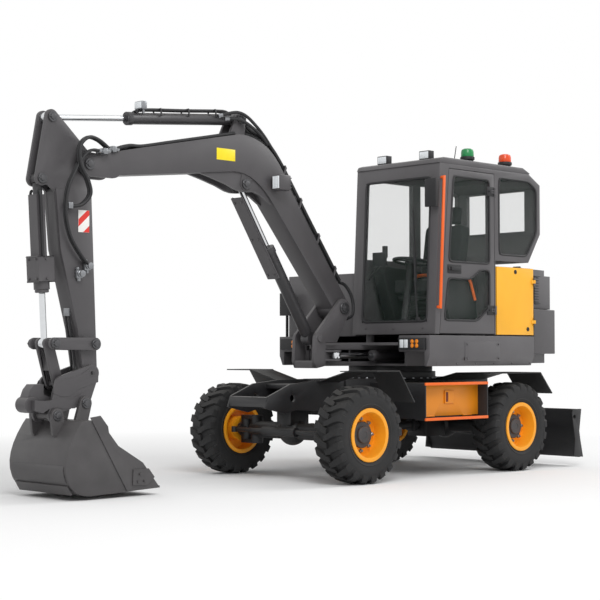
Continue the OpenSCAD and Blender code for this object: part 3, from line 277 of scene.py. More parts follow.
for i in range(2):
    out = 27 * i
    hang_hose(
        f"tip_hose_{i + 1}",
        [
            at(3550, 124 + out, 2714),
            at(3645, 140 + out, 2708),
            at(3735, 150 + out, 2645),
            at(3815, 154 + out, 2520),
            at(3872, 150 + out, 2385),
            at(3886, 144 + out, 2200),
            at(3832, 134 + out, 2020),
            at(3725, 122 + out, 1880),
            at(3655, 106 + out, 1818),
        ],
        0.0115,
    )
    hang_hose(
        f"head_hose_{i + 1}",
        [
            at(3440, 92 + out, 2744),
            at(3560, 116 + out, 2800),
            at(3680, 148 + out, 2806),
            at(3770, 168 + out, 2730),
            at(3772, 174 + out, 2590),
            at(3700, 174 + out, 2460),
            at(3676, 168 + out, 2355),
            at(3738, 142 + out, 2274),
            at(3830, 112 + out, 2258),
        ],
        0.014,
    )


# Hoses at the boom foot: a black hose on each side bows back from the end of the boom's
# loom and down to the cheek of the swing post.
for side in (-1, 1):
    hang_hose(
        f"foot_hose_{(3 + side) // 2}",
        [
            at(770, side * 62, 1772),
            at(694, side * 68, 1744),
            at(634, side * 82, 1660),
            at(618, side * 98, 1560),
            at(650, side * 116, 1470),
            at(738, side * 126, 1430),
        ],
        0.015,
    )


# Hoses to the quick coupler: two thin black hoses from a clamp on the back of the arm,
# close down its edge between the rocker's plates, to the cheeks of the coupler.
for side in (-1, 1):
    y = 20 * side
    hang_hose(
        f"coupler_hose_{(3 + side) // 2}",
        [
            at(3756, y, 1440),
            at(3750, y, 1380),
            at(3735, y, 1300),
            at(3718, y, 1200),
            at(3702, y, 1100),
            at(3694, y * 1.2, 1020),
            at(3700, y * 2.4, 960),
            at(3712, y * 3.8, 905),
        ],
        0.009,
    )


# Chassis: welded box frame, axles, fenders and towing horn in black chassis paint.
# Each welded part keeps the drawing's shape, with its cut edges eased by grinding.
chassis_black = finish("chassis_black", "#1d1d1f", 0.46, spread=0.18, grain=220, relief=0.1, dust=0.2)
fender_black = finish("fender_black", "#1b1b1c", 0.5, spread=0.1, grain=420, relief=0.1, dust=0.1)


def ease(node, material, body, width=0.0025):
    """The node's own shape with its sharp edges rounded, worn by that node's body."""
    bm = bmesh.new()
    bm.from_mesh(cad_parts[node].data)
    bmesh.ops.remove_doubles(bm, verts=bm.verts, dist=1e-5)
    bmesh.ops.dissolve_limit(bm, angle_limit=math.radians(0.4), verts=bm.verts, edges=bm.edges)
    sharp = [e for e in bm.edges if len(e.link_faces) == 2 and e.calc_face_angle() > math.radians(32)]
    bmesh.ops.bevel(
        bm, geom=sharp, offset=width, offset_type="OFFSET", segments=2, profile=0.5, affect="EDGES", clamp_overlap=True
    )
    bmesh.ops.triangulate(bm, faces=[f for f in bm.faces if len(f.verts) > 4])
    mesh = bpy.data.meshes.new(node + "_eased")
    bm.to_mesh(mesh)
    bm.free()
    mesh.materials.append(material)
    mesh.polygons.foreach_set("use_smooth", [True] * len(mesh.polygons))
    mesh.set_sharp_from_angle(angle=math.radians(30))
    piece = bpy.data.objects.new(node + "_eased", mesh)
    bpy.context.scene.collection.objects.link(piece)
    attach(piece, body)
    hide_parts(node)
    return piece


for node in ("chassis_frame", "front_axle", "rear_axle", "drive_shaft", "slew_ring"):
    ease(node, chassis_black, "chassis")
ease("fenders", fender_black, "chassis")
ease("steering_rod", chassis_black, "steering_rod")
for side in ("left", "right"):
    ease("knuckle_" + side, chassis_black, "knuckle_" + side)


# Slew ring bolts: a circle of zinc-plated hexagon bolts through the ring's flange,
# set by one row-or-ring tree that also lays out every other run of like parts.
zinc = finish("zinc_plate", "#8f9194", 0.38, metal=0.9, spread=0.1, cloud=20, grain=300)

repeat = bpy.data.node_groups.new("row_or_ring", "GeometryNodeTree")
for label, kind in (
    ("Geometry", "NodeSocketGeometry"),
    ("Count", "NodeSocketInt"),
    ("Step", "NodeSocketVector"),
    ("Turn", "NodeSocketVector"),
    ("Finish", "NodeSocketMaterial"),
):
    repeat.interface.new_socket(label, in_out="INPUT", socket_type=kind)
repeat.interface.new_socket("Geometry", in_out="OUTPUT", socket_type="NodeSocketGeometry")
r_in = repeat.nodes.new("NodeGroupInput")
r_out = repeat.nodes.new("NodeGroupOutput")
r_line = repeat.nodes.new("GeometryNodeMeshLine")
r_line.mode = "OFFSET"
r_index = repeat.nodes.new("GeometryNodeInputIndex")
r_scale = repeat.nodes.new("ShaderNodeVectorMath")
r_scale.operation = "SCALE"
r_euler = repeat.nodes.new("FunctionNodeEulerToRotation")
r_put = repeat.nodes.new("GeometryNodeInstanceOnPoints")
r_real = repeat.nodes.new("GeometryNodeRealizeInstances")
r_paint = repeat.nodes.new("GeometryNodeSetMaterial")
for a, b in (
    (r_in.outputs["Count"], r_line.inputs["Count"]),
    (r_in.outputs["Step"], r_line.inputs["Offset"]),
    (r_in.outputs["Turn"], r_scale.inputs[0]),
    (r_index.outputs[0], r_scale.inputs["Scale"]),
    (r_scale.outputs["Vector"], r_euler.inputs["Euler"]),
    (r_line.outputs["Mesh"], r_put.inputs["Points"]),
    (r_in.outputs["Geometry"], r_put.inputs["Instance"]),
    (r_euler.outputs["Rotation"], r_put.inputs["Rotation"]),
    (r_put.outputs["Instances"], r_real.inputs["Geometry"]),
    (r_real.outputs["Geometry"], r_paint.inputs["Geometry"]),
    (r_in.outputs["Finish"], r_paint.inputs["Material"]),
    (r_paint.outputs["Geometry"], r_out.inputs["Geometry"]),
):
    repeat.links.new(a, b)


def repeated(pattern, count, step, turn, material, place):
    """Lays a pattern out in a row or a ring and adds it to one mesh, moved to its place."""
    bmesh.ops.recalc_face_normals(pattern, faces=pattern.faces)
    mesh = bpy.data.meshes.new("pattern")
    pattern.to_mesh(mesh)
    carrier = bpy.data.objects.new("pattern", mesh)
    bpy.context.scene.collection.objects.link(carrier)
    layout = carrier.modifiers.new("layout", "NODES")
    layout.node_group = repeat
    key = {s.name: s.identifier for s in repeat.interface.items_tree if s.in_out == "INPUT"}
    layout[key["Count"]] = count
    layout[key["Step"]] = step
    layout[key["Turn"]] = turn
    layout[key["Finish"]] = material
    done = bpy.data.meshes.new_from_object(carrier.evaluated_get(bpy.context.evaluated_depsgraph_get()))
    bpy.data.objects.remove(carrier)
    done.transform(place)
    return done


def turned(bm, outline, place, sides=24, hollow=False):
    """A turned part: (radius, height) pairs spun about the local Z axis; a hollow one is closed along its inside."""
    rings = []
    for radius, height in outline:
        if radius < 1e-6:
            rings.append([bm.verts.new(place @ Vector((0, 0, height / 1000)))])
            continue
        rings.append(
            [
                bm.verts.new(
                    place
                    @ Vector((radius / 1000 * math.cos(a), radius / 1000 * math.sin(a), height / 1000))
                )
                for a in (2 * math.pi * k / sides for k in range(sides))
            ]
        )
    for low, high in zip(rings, rings[1:] + rings[:1] if hollow else rings[1:]):
        for k in range(sides):
            quad = (low[k % len(low)], low[(k + 1) % len(low)], high[(k + 1) % len(high)], high[k % len(high)])
            corners = list(dict.fromkeys(quad))
            if len(corners) > 2:
                bm.faces.new(corners)
    for end in (rings[0], rings[-1]):
        if len(end) > 2 and not hollow:
            bm.faces.new(end)


def facing(place, direction):
    """A frame at a place whose Z axis points in a direction."""
    return Matrix.Translation(place) @ Vector(direction).to_track_quat("Z", "Y").to_matrix().to_4x4()


def hex_bolt(bm, place, size=12, sides=6):
    """A bolt head on a washer, standing on its local Z axis."""
    outline = [(size * 1.15, 0), (size * 1.15, 2.5), (size, 2.6), (size, 9), (size * 0.86, 11.5), (0, 11.5)]
    turned(bm, outline, place, sides)


ring_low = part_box("slew_ring")[0]
bolt = bmesh.new()
hex_bolt(bolt, Matrix.Translation(Vector((0.43, 0, 0))), 13)
ring_bolts = bmesh.new()
ring_bolts.from_mesh(
    repeated(bolt, 30, (0, 0, 0), (0, 0, math.tau / 30), zinc, Matrix.Translation(Vector((at(0, 0, 0).x, 0, ring_low[2]))))
)
piece = set_down("slew_bolts", ring_bolts, zinc)
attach(piece, "chassis")


# Wheels: bias-ply tyres with deep staggered bars on a round casing, each with moulded
# sidewall rings, and pressed steel rims in orange-yellow with a ring of wheel nuts.
tyre_rubber = finish("tyre_rubber", "#1a1a1b", 0.72, spread=0.22, cloud=8, grain=120, relief=0.3, dust=0.1)
hub_grey = finish("hub_grey", "#3e3e40", 0.5, spread=0.15, cloud=12, grain=240, relief=0.08, dust=0.12)
rim_orange = finish("rim_orange", "#f8a51f", 0.36, spread=0.06, grain=200, relief=0.05, dust=0.06)

casing = [
    (206, -128), (222, -134), (232, -131), (262, -147), (268, -144), (305, -151), (345, -149), (372, -140), (388, -122),
    (394, -90), (396, 0), (394, 90), (388, 122), (372, 140), (345, 149), (305, 151), (268, 144), (262, 147), (232, 131),
    (222, 134), (206, 128),
]


def tread_bar(bm, side):
    """One bar of the tread: it starts past the middle, sweeps to the shoulder and runs down the sidewall."""
    stations = [
        (-18, -0.045, 22, 418, 392),
        (30, -0.010, 26, 420, 392),
        (78, 0.050, 28, 419, 391),
        (118, 0.095, 30, 414, 384),
        (142, 0.110, 31, 400, 368),
        (151, 0.114, 28, 368, 344),
    ]
    rings = []
    for across, angle, half, top, foot in stations:
        ring = []
        for radius, wide in ((foot, half + 5), (top, half), (top, -half), (foot, -half - 5)):
            a = angle + wide / radius
            ring.append(bm.verts.new((radius / 1000 * math.cos(a), side * across / 1000, radius / 1000 * math.sin(a))))
        rings.append(ring)
    for low, high in zip(rings, rings[1:]):
        for k in range(4):
            bm.faces.new((low[k], low[(k + 1) % 4], high[(k + 1) % 4], high[k]))
    bm.faces.new(rings[0])
    bm.faces.new(rings[-1])


for end, x in (("front", 1300), ("rear", -800)):
    for side, y in (("left", 811), ("right", -811)):
        wheel = f"wheel_{end}_{side}"
        tag = f"{end}_{side}"
        hub = at(x, y, 420)
        out = 1 if y > 0 else -1
        rubber = bmesh.new()
        turned(rubber, casing, facing(hub, (0, out, 0)), 64, hollow=True)
        for row, shift in ((1, 0), (-1, math.pi / 21)):
            bar = bmesh.new()
            tread_bar(bar, row)
            ring = repeated(
                bar, 21, (0, 0, 0), (0, math.tau / 21, 0), tyre_rubber,
                Matrix.Translation(hub) @ Matrix.Rotation(shift, 4, "Y"),
            )
            rubber.from_mesh(ring)
        piece = set_down("tread_" + tag, rubber, tyre_rubber)
        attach(piece, wheel)
        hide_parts("tyre_" + tag)
        ease("rim_" + tag, rim_orange, wheel, 0.004)
        nuts = bmesh.new()
        nut = bmesh.new()
        nut_place = Matrix.Translation(Vector((0.138, 0, 0))) @ Matrix.Rotation(-math.pi / 2, 4, "X")
        turned(nut, [(21, 0), (21, 4), (17, 4.2), (17, 20), (13, 24), (8, 24.2), (8, 33), (0, 34)], nut_place, 6)
        nuts.from_mesh(
            repeated(
                nut, 8, (0, 0, 0), (0, math.tau / 8, 0), zinc,
                Matrix.Translation(hub + Vector((0, out * 0.017, 0))) @ Matrix.Scale(out, 4, (0, 1, 0)),
            )
        )
        piece = set_down("nuts_" + tag, nuts, zinc)
        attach(piece, wheel)
        cap = bmesh.new()
        turned(
            cap,
            [(114, 12), (114, 47), (108, 52), (74, 52.5), (72, 56), (72, 70), (66, 75), (30, 76), (28, 73), (0, 73)],
            facing(hub, (0, out, 0)), 32,
        )
        piece = set_down("hub_cap_" + tag, cap, hub_grey)
        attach(piece, wheel)


# Steps and tool box: black step boxes with folded treads, orange anti-slip nosings
# along each tread, and an orange-yellow lid on the left box with two latches.
lid_orange = finish("lid_orange", "#ec8f12", 0.4, spread=0.07, grain=220, relief=0.06, dust=0.06)
nosing_orange = finish("nosing_orange", "#ef6a1a", 0.45, spread=0.08, grain=260, relief=0.12, dust=0.08)
ease("step_boxes", chassis_black, "chassis")
ease("toolbox_lid", lid_orange, "toolbox_lid", 0.004)


def block(bm, low, high, ease_by=2.0):
    """A rectangular part between two corners, its edges rounded."""
    made = bmesh.ops.create_cube(bm, size=1)["verts"]
    a, b = at(*low), at(*high)
    for v in made:
        v.co = Vector([(a[i] + b[i]) / 2 + v.co[i] * (b[i] - a[i]) for i in range(3)])
    edges = {e for v in made for e in v.link_edges}
    bmesh.ops.bevel(
        bm, geom=list(edges), offset=ease_by / 1000, segments=2, profile=0.5, affect="EDGES", clamp_overlap=True
    )


for side, s in (("left", 1), ("right", -1)):
    nosing = bmesh.new()
    for z in (520, 833):
        y = sorted((s * 938, s * 953))
        block(nosing, (-298, y[0], z - 4), (584, y[1], z + 22), 3)
    piece = set_down("step_nosing_" + side, nosing, nosing_orange)
    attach(piece, "chassis")
latch = bmesh.new()
block(latch, (79, 843.5, 660), (207, 858, 780), 5)
piece = set_down("lid_latch", latch, lid_orange)
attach(piece, "toolbox_lid")
# The latch's slot is not cut: a thin dark-orange sheet on the latch face is painted shade standing in for the recess.
slot_painted_shade = finish("slot_painted_shade", "#6e2a12", 0.6, spread=0.1, cloud=20, grain=200)
slot = bmesh.new()
block(slot, (164, 857, 676), (196, 858.6, 764), 0.6)
piece = set_down("lid_latch_slot_shade", slot, slot_painted_shade)
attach(piece, "toolbox_lid")


# Dozer blade: rolled black plate with waisted ends and a bolted cutting edge,
# worn bright along the bottom, on two arms with a short lift cylinder.
chrome = finish("chrome_rod", "#d8dadc", 0.1, metal=1.0, spread=0.03, cloud=30, grain=500, relief=0.01)
cylinder_grey = finish("cylinder_grey", "#3a393b", 0.4, spread=0.1, grain=240, relief=0.06, dust=0.12)
ease("blade", chassis_black, "blade")
ease("blade_barrel", cylinder_grey, "blade_barrel")
ease("blade_rod", chrome, "blade_rod")


# Upper frame and skirts: anthracite plate round the swing mount and under the cab,
# with bolted access panels and screws along the lower edge.
anthracite = finish("anthracite", "#555355", 0.44, spread=0.1, grain=240, relief=0.06, dust=0.14)
trim_black = finish("trim_black", "#1e1e20", 0.6, spread=0.12, cloud=10, grain=300, relief=0.05)
ease("upper_frame", anthracite, "upper")
ease("side_skirts", anthracite, "upper", 0.004)
def screen_x(z):
    return 475 - 75 * (z - 1290) / 1540


panel = bmesh.new()
block(panel, (-452, 969.5, 1044), (60, 974, 1224), 3)
for x in (-425, 33):
    for z in (1068, 1200):
        hex_bolt(panel, facing(at(x, 973, z), (0, 1, 0)), 9)
for k in range(6):
    hex_bolt(panel, facing(at(-900 + 270 * k, 969.5, 1022), (0, 1, 0)), 8)
for y in (120, 470, 820):
    hex_bolt(panel, facing(at(screen_x(1345) + 0.4, y, 1345), (1, 0, 0.05)), 9)
piece = set_down("skirt_panel_left", panel, anthracite)
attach(piece, "upper")


# Tail: cast counterweight with a rough skin, plastic engine hood above it with a row
# of louvres, and a plain engine under the hood.
cast_grey = finish("cast_grey", "#4b494b", 0.52, spread=0.12, grain=90, relief=0.22, dust=0.14)
engine_grey = finish("engine_grey", "#4a4c4f", 0.5, spread=0.2, grain=150, relief=0.15)
ease("counterweight", cast_grey, "upper", 0.006)
ease("engine_hood", anthracite, "engine_hood", 0.006)
ease("engine_block", engine_grey, "upper")
flank = Vector((-420, -90, 0)).normalized()
for side, s in (("left", 1), ("right", -1)):
    grille = bmesh.new()

    def on_flank(along, out, z):
        return at(-1000 + flank.x * along - 0.21 * out, s * (910 + flank.y * along + 0.978 * out), z)

    for z in range(1612, 1850, 26):
        for a, b in ((90, 330),):
            corners = [on_flank(u, w, z + h) for u in (a, b) for w, h in ((0.5, 0), (9, -4), (9, 6), (0.5, 14))]
            ring = [grille.verts.new(c) for c in corners]
            for k in range(4):
                grille.faces.new((ring[k], ring[(k + 1) % 4], ring[4 + (k + 1) % 4], ring[4 + k]))
            grille.faces.new(ring[:4])
            grille.faces.new(ring[4:])
    rim_route = [on_flank(u, 3, z) for u, z in ((76, 1598), (344, 1598), (344, 1862), (76, 1862), (76, 1598))]
    run_tube(grille, rim_route, 0.009, 8)
    piece = set_down("hood_grille_" + side, grille, trim_black)
    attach(piece, "engine_hood")


# Body sides: the yellow service door on the left, the covers on the right and behind
# the cab, with hinges, a slam lock and a blank plate.
panel_yellow = finish("panel_yellow", "#f8b42e", 0.34, spread=0.05, grain=240, relief=0.05, dust=0.05)
ease("body_cover", anthracite, "upper", 0.006)
ease("service_door", panel_yellow, "service_door", 0.006)
lock = bmesh.new()
for x, z in ((-690, 1885), (-880, 1345)):
    turned(lock, [(20, 0), (20, 5), (14, 7), (13, 5), (0, 5)], facing(at(x, 969, z), (0, 1, 0)))
    block(lock, (x - 8, 970, z - 4), (x + 8, 976, z + 4), 1.5)
piece = set_down("door_lock", lock, trim_black)
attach(piece, "service_door")


# Cab shell: welded tube frame and pressed roof in anthracite, with black rubber
# seals pressed round every pane of faintly green safety glass.
cab_grey = finish("cab_grey", "#525052", 0.4, spread=0.08, grain=260, relief=0.05, dust=0.1)
ease("cab_frame", cab_grey, "upper", 0.006)
ease("cab_roof", cab_grey, "upper", 0.01)
ease("cab_door", cab_grey, "cab_door", 0.005)
glass = finish("cab_glass", "#4a5c53", 0.05, spread=0.05, cloud=2, grain=30, relief=0.0)
glass.node_tree.nodes["Principled BSDF"].inputs["Alpha"].default_value = 0.08
glass.node_tree.nodes["Principled BSDF"].inputs["Specular IOR Level"].default_value = 0.8
for socket in ("Roughness", "Normal"):
    glass.node_tree.links.remove(glass.node_tree.nodes["Principled BSDF"].inputs[socket].links[0])
glass.node_tree.nodes["Principled BSDF"].inputs["Roughness"].default_value = 0.03


def dress(material, *nodes):
    """Gives CAD nodes that keep their own shape their finish."""
    for node in nodes:
        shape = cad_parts[node]
        if not shape.material_slots:
            shape.data.materials.append(material)
        for place in shape.material_slots:
            place.material = material


dress(glass, "cab_glass", "door_glass")


def seal(bm, corners, radius):
    """A rubber strip that follows a pane's outline with rounded corners."""
    route = []
    count = len(corners)
    for i in range(count):
        a, b, c = corners[i - 1], corners[i], corners[(i + 1) % count]
        into, away = (a - b).normalized() * 0.05, (c - b).normalized() * 0.05
        for k in range(5):
            t = k / 4
            route.append((b + into) * (1 - t) ** 2 + b * 2 * t * (1 - t) + (b + away) * t * t)
    run_tube(bm, route + [route[0]], radius, 8)


seals = bmesh.new()
seal(seals, [at(screen_x(z) - 4, y, z) for y, z in ((72, 1404), (866, 1404), (866, 2706), (72, 2706))], 0.012)
seal(
    seals,
    [
        at(x, 966, z)
        for x, z in ((-865, 2040), (-447, 2040), (-447, 2760), (-900, 2760), (-1025, 2690), (-1025, 2270))
    ],
    0.011,
)
piece = set_down("pane_seals", seals, trim_black)
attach(piece, "upper")
seals = bmesh.new()
seal(
    seals,
    [at(x, 968, z) for x, z in ((-302, 1945), (screen_x(1980) - 160, 1945), (screen_x(2785) - 190, 2725), (-302, 2725))],
    0.011,
)
seal(
    seals,
    [
        at(x, 968, z)
        for x, z in ((-302, 1540), (-122, 1415), (345, 1415), (290, 1795), (-32, 1795), (-167, 1885), (-302, 1885))
    ],
    0.011,
)
piece = set_down("door_seals", seals, trim_black)
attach(piece, "cab_door")


# Door fittings: black moulded pull handle with a lock barrel, and two strap hinges
# bolted to the rear post.
fittings = bmesh.new()
block(fittings, (110, 969, 1838), (300, 976, 1918), 4)
block(fittings, (130, 974, 1862), (265, 990, 1898), 6)
turned(fittings, [(13, 0), (13, 6), (9, 8), (0, 8)], facing(at(284, 975, 1878), (0, 1, 0)))
for z in (1515, 2620):
    block(fittings, (-372, 969, z - 44), (-262, 978, z + 44), 4)
    for x in (-345, -290):
        hex_bolt(fittings, facing(at(x, 977, z), (0, 1, 0)), 8)
piece = set_down("door_fittings", fittings, trim_black)
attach(piece, "cab_door")


# Wiper: a black arm from a motor under the screen, with a rubber blade on the glass.
wiper = bmesh.new()
wiper_arm = [
    at(screen_x(1420) + 8, 760, 1425), at(screen_x(1700) + 14, 735, 1700), at(screen_x(2050) + 12, 700, 2050),
]
run_tube(wiper, eased_route(wiper_arm), 0.008, 8)
run_tube(wiper, [at(screen_x(1760) + 3, 735, 1760), at(screen_x(2420) + 3, 665, 2420)], 0.007, 6)
turned(wiper, [(26, 0), (26, 10), (18, 16), (0, 17)], facing(at(screen_x(1420) - 4, 762, 1420), (1, 0, 0.05)))
piece = set_down("wiper", wiper, trim_black)
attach(piece, "upper")


# Driver's seat: foam cushions in black cloth on a bellows base, crowned, with
# side bolsters, a headrest and an orange lap belt.
seat_cloth = finish("seat_cloth", "#2b2b2d", 0.9, spread=0.2, cloud=30, grain=400, relief=0.15)


def cushion(name, low, high, lean, crown, bolster):
    """A crowned pad between two corners, its sides drawn in between the corners, leaned back about its foot."""
    bm = bmesh.new()
    bmesh.ops.create_cube(bm, size=2)
    bmesh.ops.subdivide_edges(bm, edges=bm.edges, cuts=5, use_grid_fill=True)
    a, b = at(*low), at(*high)
    half = (b - a) / 2
    centre = (a + b) / 2
    thin = min(range(3), key=lambda i: half[i])
    for v in bm.verts:
        u = v.co.copy()
        others = [i for i in range(3) if i != thin]
        round_off = 1 - 0.10 * (abs(u[others[0]]) ** 4 + abs(u[others[1]]) ** 4)
        swell = 1 + crown * (1 - u[others[0]] ** 2) * (1 - u[others[1]] ** 2)
        edge = 1 + bolster * max(0, abs(u.y) - 0.6)
        for i in others:
            j = others[1] if i == others[0] else others[0]
            u[i] *= 1 - 0.035 * (1 - u[j] ** 2)
        u[thin] *= 0.78 * round_off * swell * edge
        v.co = Vector([u[i] * half[i] for i in range(3)])
    spin = Matrix.Rotation(math.radians(lean), 4, "Y")
    bmesh.ops.transform(bm, matrix=Matrix.Translation(centre) @ spin, verts=bm.verts)
    pad = set_down(name, bm, seat_cloth)
    fuller = pad.modifiers.new("fuller", "SUBSURF")
    fuller.levels = fuller.render_levels = 2
    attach(pad, "upper")
    return pad


cushion_piece = cushion("seat_cushion", (-300, 220, 1640), (210, 700, 1810), -4, 0.22, 0.5)
cushion("seat_back", (-345, 225, 1760), (-195, 695, 2330), -9, 0.25, 0.6)
cushion("head_rest", (-385, 330, 2345), (-285, 590, 2505), -8, 0.2, 0.0)
seat_base = bmesh.new()
block(seat_base, (-230, 270, 1338), (150, 650, 1362), 4)
for k in range(5):
    inset = 14 * (k % 2)
    block(seat_base, (-210 + inset, 290 + inset, 1362 + 50 * k), (130 - inset, 630 - inset, 1414 + 50 * k), 10)
block(seat_base, (-260, 250, 1612), (170, 670, 1650), 8)
piece = set_down("seat_base", seat_base, trim_black)
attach(piece, "upper")
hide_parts("seat")
belt_orange = finish("belt_orange", "#e86a1e", 0.8, spread=0.1, cloud=40, grain=700, relief=0.3)
belt = bmesh.new()
strap = [
    at(-200, 716, 1700), at(-120, 712, 1800), at(-60, 640, 1838), at(-40, 460, 1850), at(-60, 280, 1838),
    at(-160, 206, 1760),
]
run_tube(belt, eased_route(strap), 0.016, 8)
piece = set_down("lap_belt", belt, belt_orange)
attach(piece, "upper")


# Controls: moulded side consoles with joysticks, the steering column and wheel, and a
# small display on the right-hand post.
ease("consoles", trim_black, "upper")
ease("steering_column", trim_black, "upper")
controls = bmesh.new()
for y in (128, 792):
    boot = [(44, 0), (42, 10), (36, 14), (35, 22), (28, 26), (27, 34), (20, 38), (14, 52), (0, 53)]
    turned(controls, boot, facing(at(215, y, 1922), (0, 0, 1)), 20)
block(controls, (330, 96, 1930), (356, 262, 2060), 6)
run_tube(controls, [at(345, 180, 1935), at(352, 100, 1860), at(372, 66, 1800)], 0.011, 8)
piece = set_down("joysticks", controls, trim_black)
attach(piece, "upper")
lever = bmesh.new()
lever_route = [at(-66, 866, 1808), at(-118, 877, 1800), at(-165, 877, 1702), at(-215, 866, 1610)]
run_tube(lever, eased_route(lever_route), 0.014, 10)
piece = set_down("console_lever", lever, belt_orange)
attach(piece, "upper")


# Handrails and mirrors: bent round tube in safety orange beside the door, and black
# moulded mirror heads with a plane glass let into the back.
rail_orange = finish("rail_orange", "#f0641a", 0.38, spread=0.06, grain=240, relief=0.05)
ease("handrails", rail_orange, "upper", 0.002)
ease("mirrors", trim_black, "upper", 0.006)


# Lamps: black housings with clear ribbed lenses, amber and white corner lamps,
# and two rotating beacons with coloured domes on the roof.
ease("lamps", trim_black, "upper", 0.003)
lens_clear = finish("lens_clear", "#e9edf0", 0.12, spread=0.03, cloud=60, grain=80, relief=0.2)
lens_amber = finish("lens_amber", "#f08a10", 0.18, spread=0.05, cloud=60, grain=80, relief=0.2)
lens_red = finish("lens_red", "#e8501e", 0.18, spread=0.05, cloud=60, grain=80, relief=0.2)
lens_green = finish("lens_green", "#1f8a4c", 0.18, spread=0.05, cloud=60, grain=80, relief=0.2)
clear = bmesh.new()
for y in (200, 720):
    block(clear, (329, y - 52, 2893), (334, y + 52, 2957), 2)
    for k in range(5):
        block(clear, (333, y - 44 + 19 * k, 2897), (337, y - 36 + 19 * k, 2953), 1.5)
for y in (662, 714):
    block(clear, (576, y - 22, 1166), (582, y + 22, 1240), 5)
piece = set_down("lens_white", clear, lens_clear)
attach(piece, "upper")
amber = bmesh.new()
for y in (788, 842, -700, -750):
    for z in (1184, 1222):
        turned(amber, [(19, -1), (19, 3), (15, 6), (0, 7)], facing(at(577, y, z), (1, 0, 0)), 20)
piece = set_down("lens_amber", amber, lens_amber)
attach(piece, "upper")
bases = bmesh.new()
for x in (-120, -680):
    turned(
        bases,
        [(54, 0), (54, 14), (66, 20), (68, 34), (66, 46), (58, 50), (0, 50)],
        facing(at(x, 860, 2888), (0, 0, 1)), 28,
    )
run_tube(bases, [at(60, 860, 2872), at(60, 860, 2900), at(66, 860, 2904), at(40, 860, 3020)], 0.004, 8)
piece = set_down("beacon_bases", bases, trim_black)
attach(piece, "upper")
for tag, x, material in (("green", -120, lens_green), ("red", -680, lens_red)):
    dome = bmesh.new()
    turned(
        dome,
        [(58, 0), (60, 6), (59, 46), (53, 66), (36, 76), (0, 78)],
        facing(at(x, 860, 2936), (0, 0, 1)), 28,
    )
    piece = set_down("beacon_" + tag, dome, material)
    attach(piece, "upper")


# Swing post and cylinders: the boom's cast swing post in anthracite and the slim
# double-acting cylinders, painted barrels with hard chromed rods.
ease("swing_post", anthracite, "swing_post", 0.004)
ease("swing_barrel", cylinder_grey, "swing_barrel")
ease("swing_rod", chrome, "swing_rod")
ease("boom_barrel", cylinder_grey, "boom_barrel")
ease("boom_rod", chrome, "boom_rod")
ease("arm_barrel", cylinder_grey, "arm_barrel")
ease("arm_rod", chrome, "arm_rod")
ease("bucket_barrel", cylinder_grey, "bucket_barrel")
ease("bucket_rod", chrome, "bucket_rod")


# Boom: welded box section in anthracite with pipes along its back, pin heads with
# keeper plates, a work lamp on the left cheek and one blank yellow plate.
boom_grey = finish("boom_grey", "#4a484a", 0.4, spread=0.1, grain=240, relief=0.06, dust=0.14)
ease("boom", boom_grey, "boom", 0.004)
ease("boom_lines", hose_rubber, "boom", 0.002)


def face_at(node, x, z, reach=60):
    """How far out a node's cheek stands, in millimetres, round a pin's axis."""
    spots = (v.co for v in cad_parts[node].data.vertices)
    return max(abs(c.y) for c in spots if (c.xz - at(x, 0, z).xz).length < reach / 1000) * 1000


pin_steel = finish("pin_steel", "#58585a", 0.36, metal=0.7, spread=0.12, cloud=20, grain=200)


def pin_heads(name, body, node, places, radius=46, proud=22):
    """Both ends of hinge pins: a turned collar, a keeper plate beside it and its bolt."""
    heads = bmesh.new()
    for x, z in places:
        for out in (1, -1):
            y = out * face_at(node, x, z)
            turned(
                heads,
                [
                    (radius, 0), (radius, proud * 0.4), (radius - 3, proud * 0.54), (radius * 0.62, proud * 0.54),
                    (radius * 0.58, proud * 0.9), (radius * 0.4, proud), (0, proud),
                ],
                facing(at(x, y, z), (0, out, 0)), 28,
            )
            if proud > 10:
                hex_bolt(heads, facing(at(x + radius * 0.78, y + out * 11, z), (0, out, 0)), 7)
    piece = set_down(name, heads, pin_steel)
    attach(piece, body)


pin_heads("boom_pins", "boom", "boom", ((3627.7, 2607.7), (1955.7, 2581.4), (1998.5, 3146.6)))
pin_heads("post_pins", "swing_post", "swing_post", ((793, 1529),), 56)
plate_yellow = finish("plate_yellow", "#f5dc1e", 0.35, spread=0.03, cloud=20, grain=300, relief=0.02)
sticker = bmesh.new()
block(sticker, (2090, 105.2, 2765), (2300, 107, 2865), 0.5)
piece = set_down("blank_plate", sticker, plate_yellow)
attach(piece, "boom")
lamp = bmesh.new()
block(lamp, (1560, 105.3, 2560), (1640, 132, 2660), 4)
block(lamp, (1545, 130, 2545), (1680, 235, 2680), 12)
for z in (2572, 2600, 2628, 2656):
    block(lamp, (1530, 140, z - 5), (1548, 226, z + 5), 2)
piece = set_down("boom_lamp", lamp, boom_grey)
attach(piece, "boom")
lens = bmesh.new()
block(lens, (1679, 142, 2558), (1686, 224, 2668), 3)
for k in range(4):
    block(lens, (1685, 150 + 20 * k, 2564), (1689, 158 + 20 * k, 2662), 1.5)
piece = set_down("boom_lamp_lens", lens, lens_clear)
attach(piece, "boom")


# Boom hoses: three thick hoses on saddles up the back of the boom and over its knee,
# held down all along, so they lie still on the boom.
def on_boom(u, y, v):
    turn = math.radians(20.835)
    return at(793 + u * math.cos(turn) - v * math.sin(turn), y, 1529 + u * math.sin(turn) + v * math.cos(turn))


